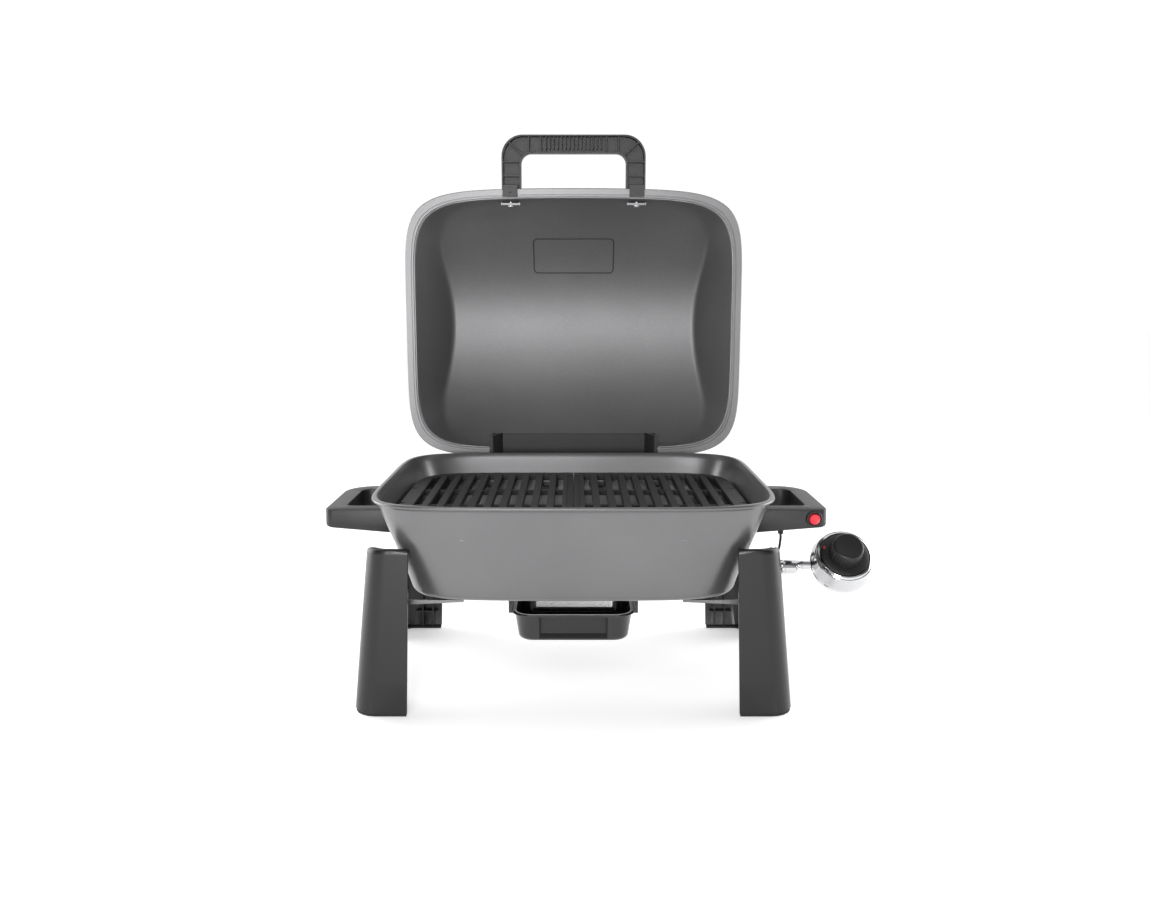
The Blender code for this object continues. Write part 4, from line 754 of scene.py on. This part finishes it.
def add_lid_clips():
    """Bent spring clips under the heads of the handle's screws."""
    for side, name in ((-1, "left"), (1, "right")):
        x = side * HANDLE_X
        clip = block((x - 10.0, -155.6, 236.2), (x + 10.0, -152.4, 237.0))
        block((x - 10.0, -153.2, 236.2), (x + 10.0, -152.4, 245.5), clip)
        block((x - 12.4, -156.2, 236.2), (x - 10.0, -152.4, 238.4), clip)
        block((x + 10.0, -156.2, 236.2), (x + 12.4, -152.4, 238.4), clip)
        opened(clip)
        place(round_edges(finish_mesh("lid_clip_" + name, clip, "dull_steel"), 0.3), "lid", "plated_steel")
        head = turned([(0, 0), (2.2, 0), (3.4, 0.5), (3.8, 1.2), (3.8, 2.2), (2.0, 2.2), (2.0, 24.0),
                       (0, 24.0)], 40)
        aim(head, "-Y", (x, -150.4, 241.0))
        opened(head)
        place(finish_mesh("lid_screw_" + name, head, "zinc"), "lid", "plated_steel",
              "lid_handle_screw_" + name)


# ---------------------------------------------------------------- side handles

SIDE_TOP = 205.0
SIDE_HALF = 66.0
SIDE_BAND = 20.0


def side_handle_rings(side, outer_x):
    root_top = wall_at(SIDE_TOP)[0] + 0.4
    low_root, low_tip = 178.0, 185.0
    root_low = wall_at(low_root)[0] + 0.4

    def sloped(points, lift=0.0):
        for point in points:
            share = min(max((point.x - root_top) / (outer_x - root_top), 0.0), 1.0)
            if point.x < root_top + 1.5:
                point.x -= root_top - root_low
            point.z = low_root + (low_tip - low_root) * share + lift
        return points

    def outer(inset, z, radii_cut=0.0):
        radii = (1.0, 9.0 - radii_cut, 34.0 - radii_cut, 1.0)
        return rounded_rectangle((root_top, inset - SIDE_HALF), (outer_x - inset, SIDE_HALF - inset),
                                 radii, z)

    def inner(inset, z):
        return rounded_rectangle((root_top + 8.0 - inset, SIDE_BAND - SIDE_HALF - inset),
                                 (outer_x - SIDE_BAND + inset, SIDE_HALF - SIDE_BAND + inset),
                                 (5.0, 7.0, 12.0, 5.0), z)

    rings = [sloped(inner(0.8, 0.0)), sloped(outer(2.2, 0.0, 2.0)), sloped(outer(0.7, 0.0, 0.7), 0.8),
             sloped(outer(0.0, 0.0), 2.6), outer(0.0, SIDE_TOP - 2.0), outer(0.5, SIDE_TOP - 0.6, 0.5),
             outer(1.6, SIDE_TOP, 1.0), inner(0.8, SIDE_TOP), inner(0.2, SIDE_TOP - 0.4),
             inner(0.0, SIDE_TOP - 1.2), sloped(inner(0.0, 0.0), 1.2)]
    if side < 0:
        rings = [[Vector((-point.x, point.y, point.z)) for point in ring] for ring in rings]
    return rings


def add_side_handles():
    for side, name in ((-1, "left"), (1, "right")):
        low, high = drawn_box(name + "_side_handle")
        outer_x = high.x if side > 0 else -low.x
        handle = finish_mesh(name + "_loop_handle", loft(side_handle_rings(side, outer_x), stack_closes=True),
                             "handle_plastic", 30.0)
        if side > 0:
            low_b, high_b = drawn_box("igniter_button")
            hole = turned([(0, 0), (6.7, 0), (6.7, 23), (0, 23)], 48)
            aim(hole, "+Y", ((low_b.x + high_b.x) / 2, -SIDE_HALF - 5, (low_b.z + high_b.z) / 2))
            boolean(handle, hole, "DIFFERENCE")
            handle.data.set_sharp_from_angle(angle=math.radians(30.0))
        place(handle, "base", "black_plastic", name + "_side_handle")


def add_igniter():
    low, high = drawn_box("igniter_button")
    x, z = (low.x + high.x) / 2, (low.z + high.z) / 2
    bezel = turned([(6.4, 0), (8.6, 0), (8.9, 0.5), (8.7, 1.9), (8.1, 2.5), (7.2, 2.6), (6.5, 2.1)], 72)
    place(finish_mesh("igniter_collar", aim(bezel, "-Y", (x, -SIDE_HALF - 0.1, z)), "black_plastic"),
          "base", "black_plastic", "igniter_bezel")
    button = turned([(0, 0), (5.9, 0), (6.0, 0.4), (6.0, 9.6), (5.6, 10.5), (4.7, 10.9), (4.2, 10.7),
                     (0, 10.9)], 144, 24, 0.5, (2, 3, 4))
    place(finish_mesh("red_button", aim(button, "-Y", (x, high.y, z)), "red", 40.0),
          "button", "red_plastic", "igniter_button")


# ---------------------------------------------------------------- legs

LEG_TOP = 179.5
TOP_FALL = 0.45              # slope of the top edge behind the round corner
TOP_FALL_Y = 129.0
LEG_FACE_Y = 141.5
LEG_END_Y = 94.0
LEG_CORNER = 24.0
LEG_SKIN = 2.8


def leg_section(side_x, side_y, z, skin=LEG_SKIN, inset=0.0):
    share = z / LEG_TOP
    inner_x = 174.0 - 6.0 * share + inset
    outer_x = 232.0 - 18.0 * share - inset
    face_y, end_y = LEG_FACE_Y - inset, LEG_END_Y + inset

    def path(offset, crown):
        radius = LEG_CORNER - offset
        centre_x, centre_y = outer_x - LEG_CORNER, face_y - LEG_CORNER
        points = [(inner_x, face_y - offset - crown), (inner_x + crown, face_y - offset)]
        for step in range(17):
            angle = math.radians(90.0 - 90.0 * step / 16)
            points.append((centre_x + radius * math.cos(angle), centre_y + radius * math.sin(angle)))
        points += [(outer_x - offset, end_y + crown), (outer_x - offset - crown, end_y)]
        return points

    def height(y):
        near_top = min(max((z - 120.0) / (LEG_TOP - 120.0), 0.0), 1.0)
        return z - TOP_FALL * max(TOP_FALL_Y - y, 0.0) * near_top

    outline = path(0.0, 0.6) + path(skin, 0.0)[::-1]
    return [Vector((side_x * x, side_y * y, height(y))) for x, y in outline]


def add_leg(name, side_x, side_y):
    rings = [leg_section(side_x, side_y, 3.3, LEG_SKIN, 0.5), leg_section(side_x, side_y, 4.0)]
    rings += [leg_section(side_x, side_y, z) for z in (40.0, 80.0, 120.0, 150.0, 168.0)]
    rings += [leg_section(side_x, side_y, LEG_TOP - 5.6), leg_section(side_x, side_y, LEG_TOP - 5.4, 5.0),
              leg_section(side_x, side_y, LEG_TOP - 1.4, 5.0, 0.2),
              leg_section(side_x, side_y, LEG_TOP - 0.4, 4.6, 0.8),
              leg_section(side_x, side_y, LEG_TOP, 3.8, 1.8)]
    shell = finish_mesh(name + "_leg_shell", loft(rings), "leg_plastic", 40.0)
    place(shell, name + "_leg", "black_plastic", name + "_leg")
    ribs = bmesh.new()
    for near in (105.0, 115.0):
        y0, y1 = sorted((side_y * near, side_y * (near + 2.5)))
        x0, x1 = sorted((side_x * 181.0, side_x * 219.0))
        block((x0, y0, 101.0), (x1, y1, 123.0), ribs)
    for x, top, bottom in ((183.0, 170.0, 6.0), (196.0, 150.0, 6.0)):
        x0, x1 = sorted((side_x * x, side_x * (x + 1.8)))
        y0, y1 = sorted((side_y * 128.0, side_y * 139.2))
        block((x0, y0, bottom), (x1, y1, 98.0), ribs)
    for z in (24.0, 60.0, 96.0):
        outside = 232.0 - 0.1 * z
        x0, x1 = sorted((side_x * 178.0, side_x * (outside - LEG_CORNER)))
        y0, y1 = sorted((side_y * 129.0, side_y * 139.2))
        x2, x3 = sorted((side_x * (outside - 14.0), side_x * (outside - LEG_SKIN + 0.6)))
        y2, y3 = sorted((side_y * 97.0, side_y * (LEG_FACE_Y - LEG_CORNER)))
        block((x0, y0, z), (x1, y1, z + 2.0), ribs)
        block((x2, y2, z), (x3, y3, z + 2.0), ribs)
    place(round_edges(finish_mesh(name + "_leg_ribs", ribs, "leg_plastic"), 0.4, 1),
          name + "_leg", "black_plastic")


def add_legs():
    for depth_name, side_y in (("front", -1), ("rear", 1)):
        for width_name, side_x in (("left", -1), ("right", 1)):
            add_leg(f"{depth_name}_{width_name}", side_x, side_y)


# ---------------------------------------------------------------- grease tray

TRAY_HALF = 65.5
TRAY_FRONT = -75.0
TRAY_REAR = 35.0
TRAY_LOW = 56.5
TRAY_RIM = 89.0
POCKET_HALF = 38.0


def add_tray():
    """The grease pan with its rolled rim, and the finger pocket in its front."""
    def ring(inset, z):
        radius = 20.0 - min(max(inset, 0.0), 8.0) * 0.8
        return rounded_rectangle((inset - TRAY_HALF, TRAY_FRONT + inset),
                                 (TRAY_HALF - inset, TRAY_REAR - inset), (radius,) * 4, z, 12)

    rings = [ring(12.0, TRAY_LOW)]
    for step in range(7):
        angle = math.radians(90.0 * step / 6)
        rings.append(ring(10.0 - 6.0 * math.sin(angle), TRAY_LOW + 6.0 - 6.0 * math.cos(angle)))
    rings += [ring(0.4, TRAY_RIM - 3.0), ring(0.0, TRAY_RIM - 2.2), ring(-1.0, TRAY_RIM - 1.6),
              ring(-2.6, TRAY_RIM - 1.6), ring(-3.0, TRAY_RIM - 1.2), ring(-3.0, TRAY_RIM - 0.4),
              ring(-2.6, TRAY_RIM), ring(0.9, TRAY_RIM), ring(1.7, TRAY_RIM - 0.5), ring(5.8, TRAY_LOW + 8.0),
              ring(7.4, TRAY_LOW + 4.0), ring(11.0, TRAY_LOW + 1.8)]
    tray = finish_mesh("grease_pan", loft(rings), "enamel", 40.0)
    low, high = TRAY_LOW + 2.6, TRAY_RIM - 3.4
    cutter = block((-POCKET_HALF, TRAY_FRONT - 3, low), (POCKET_HALF, TRAY_FRONT + 8.2, high))
    boolean(tray, cutter, "DIFFERENCE")
    tray.data.set_sharp_from_angle(angle=math.radians(40.0))
    place(tray, "tray", "black_enamel", "grease_tray")

    def frame_ring(grow, y, sink=0.0):
        half = POCKET_HALF + grow
        return [Vector((-half, y, low - grow + sink)), Vector((half, y, low - grow + sink)),
                Vector((half, y, high + grow)), Vector((-half, y, high + grow))]

    def leaning_ring(grow):
        return [point + Vector((0, 3.0 if point.z < 70 else 0, 0)) for point in frame_ring(grow, front)]

    front = TRAY_FRONT + 1.1
    pocket = loft([frame_ring(0.1, TRAY_FRONT + 9.5), leaning_ring(0.1), leaning_ring(-1.2),
                   frame_ring(-1.2, TRAY_FRONT + 8.2, 5.0)])
    # the pocket's lining takes the darker painted-shade colour
    place(round_edges(finish_mesh("tray_finger_pocket", pocket, "pocket"), 0.5), "tray", "black_enamel")


# ---------------------------------------------------------------- regulator and gas line

REG_CENTRE = (309.0, -11.0, 130.0)
LEAN = Matrix.Translation(REG_CENTRE) @ Matrix.Rotation(math.radians(45.0), 4, "X")
KNOB_FACE = 16.4


def leaning(name, data, material, smooth=32.0, lift=0.0):
    bmesh.ops.transform(data, matrix=LEAN @ Matrix.Translation((0, 0, lift)), verts=data.verts)
    return finish_mesh(name, data, material, smooth)


def add_regulator():
    body = [(0, -28), (15.6, -28), (16.4, -27.7), (19, -27), (22.4, -25.6), (25.4, -23.4), (28.2, -20.6),
            (30.8, -17), (32.9, -13), (34.4, -9), (35.3, -5.6), (35.2, -4.4), (35.9, -4), (36.1, -3),
            (35.6, -2.4), (35.6, -1.6), (36.2, -1), (36.2, 3), (35.7, 4), (35.7, 5), (35.3, 5.6),
            (35.1, 7.6), (34.2, 9.4), (33.8, 11.4),
            (33.5, 12.6), (33.2, 14.2), (32.8, 15.2), (32.3, 15.8), (31.7, 16.1), (31.3, 16.0), (31.0, 16.4),
            (29.4, 17.9), (28.6, 18.3), (28.1, 17.9), (27.9, 17.2), (27.8, 16), (0, 16)]
    place(leaning("regulator_can", turned(body, 128), "chrome", 38.0), "base", "chrome", "regulator_body")
    collar = [(0, -31), (12.6, -31), (13.0, -31.4), (13.0, -40.6), (13.4, -41), (15.8, -41), (16.7, -40.5),
              (17.0, -39.6), (17.0, -30.4), (16.4, -29.3), (15.2, -28.4), (0, -28.4)]
    place(leaning("cylinder_nut", turned(collar, 144, 36, 0.7, (6, 7, 8)), "brass", 40.0),
          "base", "brass", "cylinder_collar")
    skirt = [(0, 0.1), (26.0, 0.1), (26.8, 0.5), (27.2, 1.3), (27.0, 2), (26.0, 2.5), (24, 2.9),
             (21.2, 3.5), (0, 3.6)]
    place(leaning("knob_dial", turned(skirt, 128), "black_plastic", 40.0, KNOB_FACE), "knob", "black_plastic",
          "knob_skirt")
    cap = [(0, 3.9), (18.8, 3.9), (19.0, 4.3), (18.6, 7.0), (18.2, 11.0), (17.8, 15.0), (17.4, 19.0),
           (16.8, 20.6), (15.8, 21.5), (14.6, 21.9), (13.6, 21.7), (0, 21.8)]
    place(leaning("knob_cap", turned(cap, 240, 30, 0.7, (2, 3, 4, 5, 6)), "black_plastic", 40.0, KNOB_FACE),
          "knob", "black_plastic", "regulator_knob")
    mark = block((-25.6, -2.0, 2.2), (-22.6, 2.0, 3.3))
    bmesh.ops.transform(mark, matrix=Matrix.Rotation(math.radians(-22.0), 4, "Z"), verts=mark.verts)
    place(round_edges(leaning("knob_mark", mark, "red_mark", 32.0, KNOB_FACE), 0.3), "knob", "red_plastic")


OUTLET_Y = -11.0
NECK_Z, NECK_RADIUS = 127.2, 5.2
NOZZLE_Z, NOZZLE_RADIUS = 124.8, 8.1
VENTS = 10


def add_gas_line():
    """The outlet runs from the regulator's side to the left: a thin neck, then the nozzle and the pipe."""
    neck, nozzle = NECK_RADIUS, NOZZLE_RADIUS
    stations = [(272.3, NECK_Z, neck), (262.6, NECK_Z, neck), (262.0, NECK_Z, neck - 0.7),
                (260.2, NECK_Z, neck - 0.7), (259.6, NECK_Z, neck), (258.5, NECK_Z - 0.2, neck + 0.2),
                (257.2, NECK_Z - 0.9, neck + 1.2), (255.5, NOZZLE_Z, nozzle - 0.3),
                (254.9, NOZZLE_Z, nozzle), (243.4, NOZZLE_Z, nozzle), (243.0, NOZZLE_Z, nozzle - 0.5),
                (242.0, NOZZLE_Z, nozzle - 0.5), (241.6, NOZZLE_Z, nozzle), (237.2, NOZZLE_Z, nozzle),
                (236.4, NOZZLE_Z, nozzle - 0.6), (236.0, NOZZLE_Z, nozzle - 1.6)]
    rings = []
    for x, z, radius in stations:
        rings.append([Vector((x, OUTLET_Y + radius * math.cos(2 * math.pi * step / 64),
                              z + radius * math.sin(2 * math.pi * step / 64))) for step in range(64)])
    place(finish_mesh("gas_nozzle", loft(rings), "chrome", 38.0), "base", "chrome", "regulator_outlet")
    # Black discs flush with the nozzle stand in for its vent holes: painted shade in place of cut holes.
    vents = bmesh.new()
    for number in range(VENTS):
        angle = 2 * math.pi * (number + 0.25) / VENTS
        plug = turned([(0, -0.5), (0.9, -0.5), (0.9, 0.0), (0, 0.0)], 20)
        turn = (Matrix.Translation((239.4, OUTLET_Y, NOZZLE_Z)) @ Matrix.Rotation(angle, 4, "X")
                @ Matrix.Translation((0, 0, NOZZLE_RADIUS + 0.02)))
        bmesh.ops.transform(plug, matrix=turn, verts=plug.verts)
        spare = bpy.data.meshes.new("spare")
        plug.to_mesh(spare)
        plug.free()
        vents.from_mesh(spare)
        bpy.data.meshes.remove(spare)
    place(finish_mesh("gas_nozzle_vents", vents, "enamel"), "base", "chrome")
    stops = [(234.8, OUTLET_Y, NOZZLE_Z), (222, OUTLET_Y, NOZZLE_Z), (206, -8, 128), (192, -2, 135),
             (180, 0, 137), (160, 0, 137)]
    place(finish_mesh("gas_line", tube(smooth_route(stops, 48), 4.9, 20), "zinc"),
          "base", "plated_steel", "gas_pipe")
    top_low, top_high = drawn_box("igniter_wire_gland")
    x, gland_y = (top_low.x + top_high.x) / 2, (top_low.y + top_high.y) / 2
    rod_low, rod_high = drawn_box("igniter_electrode")
    end_y, end_z = (rod_low.y + rod_high.y) / 2, (rod_low.z + rod_high.z) / 2
    stops = [(x, gland_y, top_low.z + 0.2), (x, gland_y, 168), (225, gland_y - 1, 156), (212, end_y, 148),
             (198, end_y, end_z), (rod_high.x - 0.2, end_y, end_z)]
    place(finish_mesh("igniter_lead", tube(smooth_route(stops, 60), 1.3, 12), "rubber"),
          "base", "black_rubber", "igniter_wire")


# ---------------------------------------------------------------- pieces kept from the frame

WELD_REACH = 0.00001
KEPT = {
    "iron": (("left_grate", "right_grate"), 1.1),
    "burnt_steel": (("heat_plate", "burner_tube", "burner_stand"), 0.4),
    "zinc": (("lid_hinge_lug_left", "lid_hinge_lug_right", "hinge_bracket_left", "hinge_bracket_right",
              "hinge_pin_left", "hinge_pin_right",
              "left_handle_screw_front", "left_handle_screw_rear", "right_handle_screw_front",
              "right_handle_screw_rear"), 0.35),
    "enamel": (("tray_rail_left", "tray_rail_right"), 0.35),
    "ceramic": (("igniter_electrode", "piezo_module"), 0.3),
    "rubber": (("igniter_wire_gland",), 0.4),
}


def dress_kept():
    """Give the CAD pieces that stay visible their finish and softened edges."""
    kept = dict(KEPT)
    for depth_name in ("front", "rear"):
        for width_name in ("left", "right"):
            leg = f"{depth_name}_{width_name}"
            kept[leg] = ((leg + "_leg_bracket", leg + "_leg_pin"), 0.35)
            kept[leg + "_pad"] = ((leg + "_foot_pad",), 0.4)
    for finish, (nodes, width) in kept.items():
        if finish.endswith("_pad"):
            finish = "rubber"
        elif finish not in FINISH:
            finish = "dull_steel"
        for node in nodes:
            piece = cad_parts[node]
            piece.data.materials.clear()
            piece.data.materials.append(FINISH[finish])
            weld = piece.modifiers.new("Weld", "WELD")
            weld.merge_threshold = WELD_REACH
            round_edges(piece, width)


# ---------------------------------------------------------------- everything

add_camera()
add_studio()
add_floor()
add_tub()
add_lid()
add_lid_handle()
add_lid_clips()
add_side_handles()
add_igniter()
add_legs()
add_tray()
add_regulator()
add_gas_line()
dress_kept()
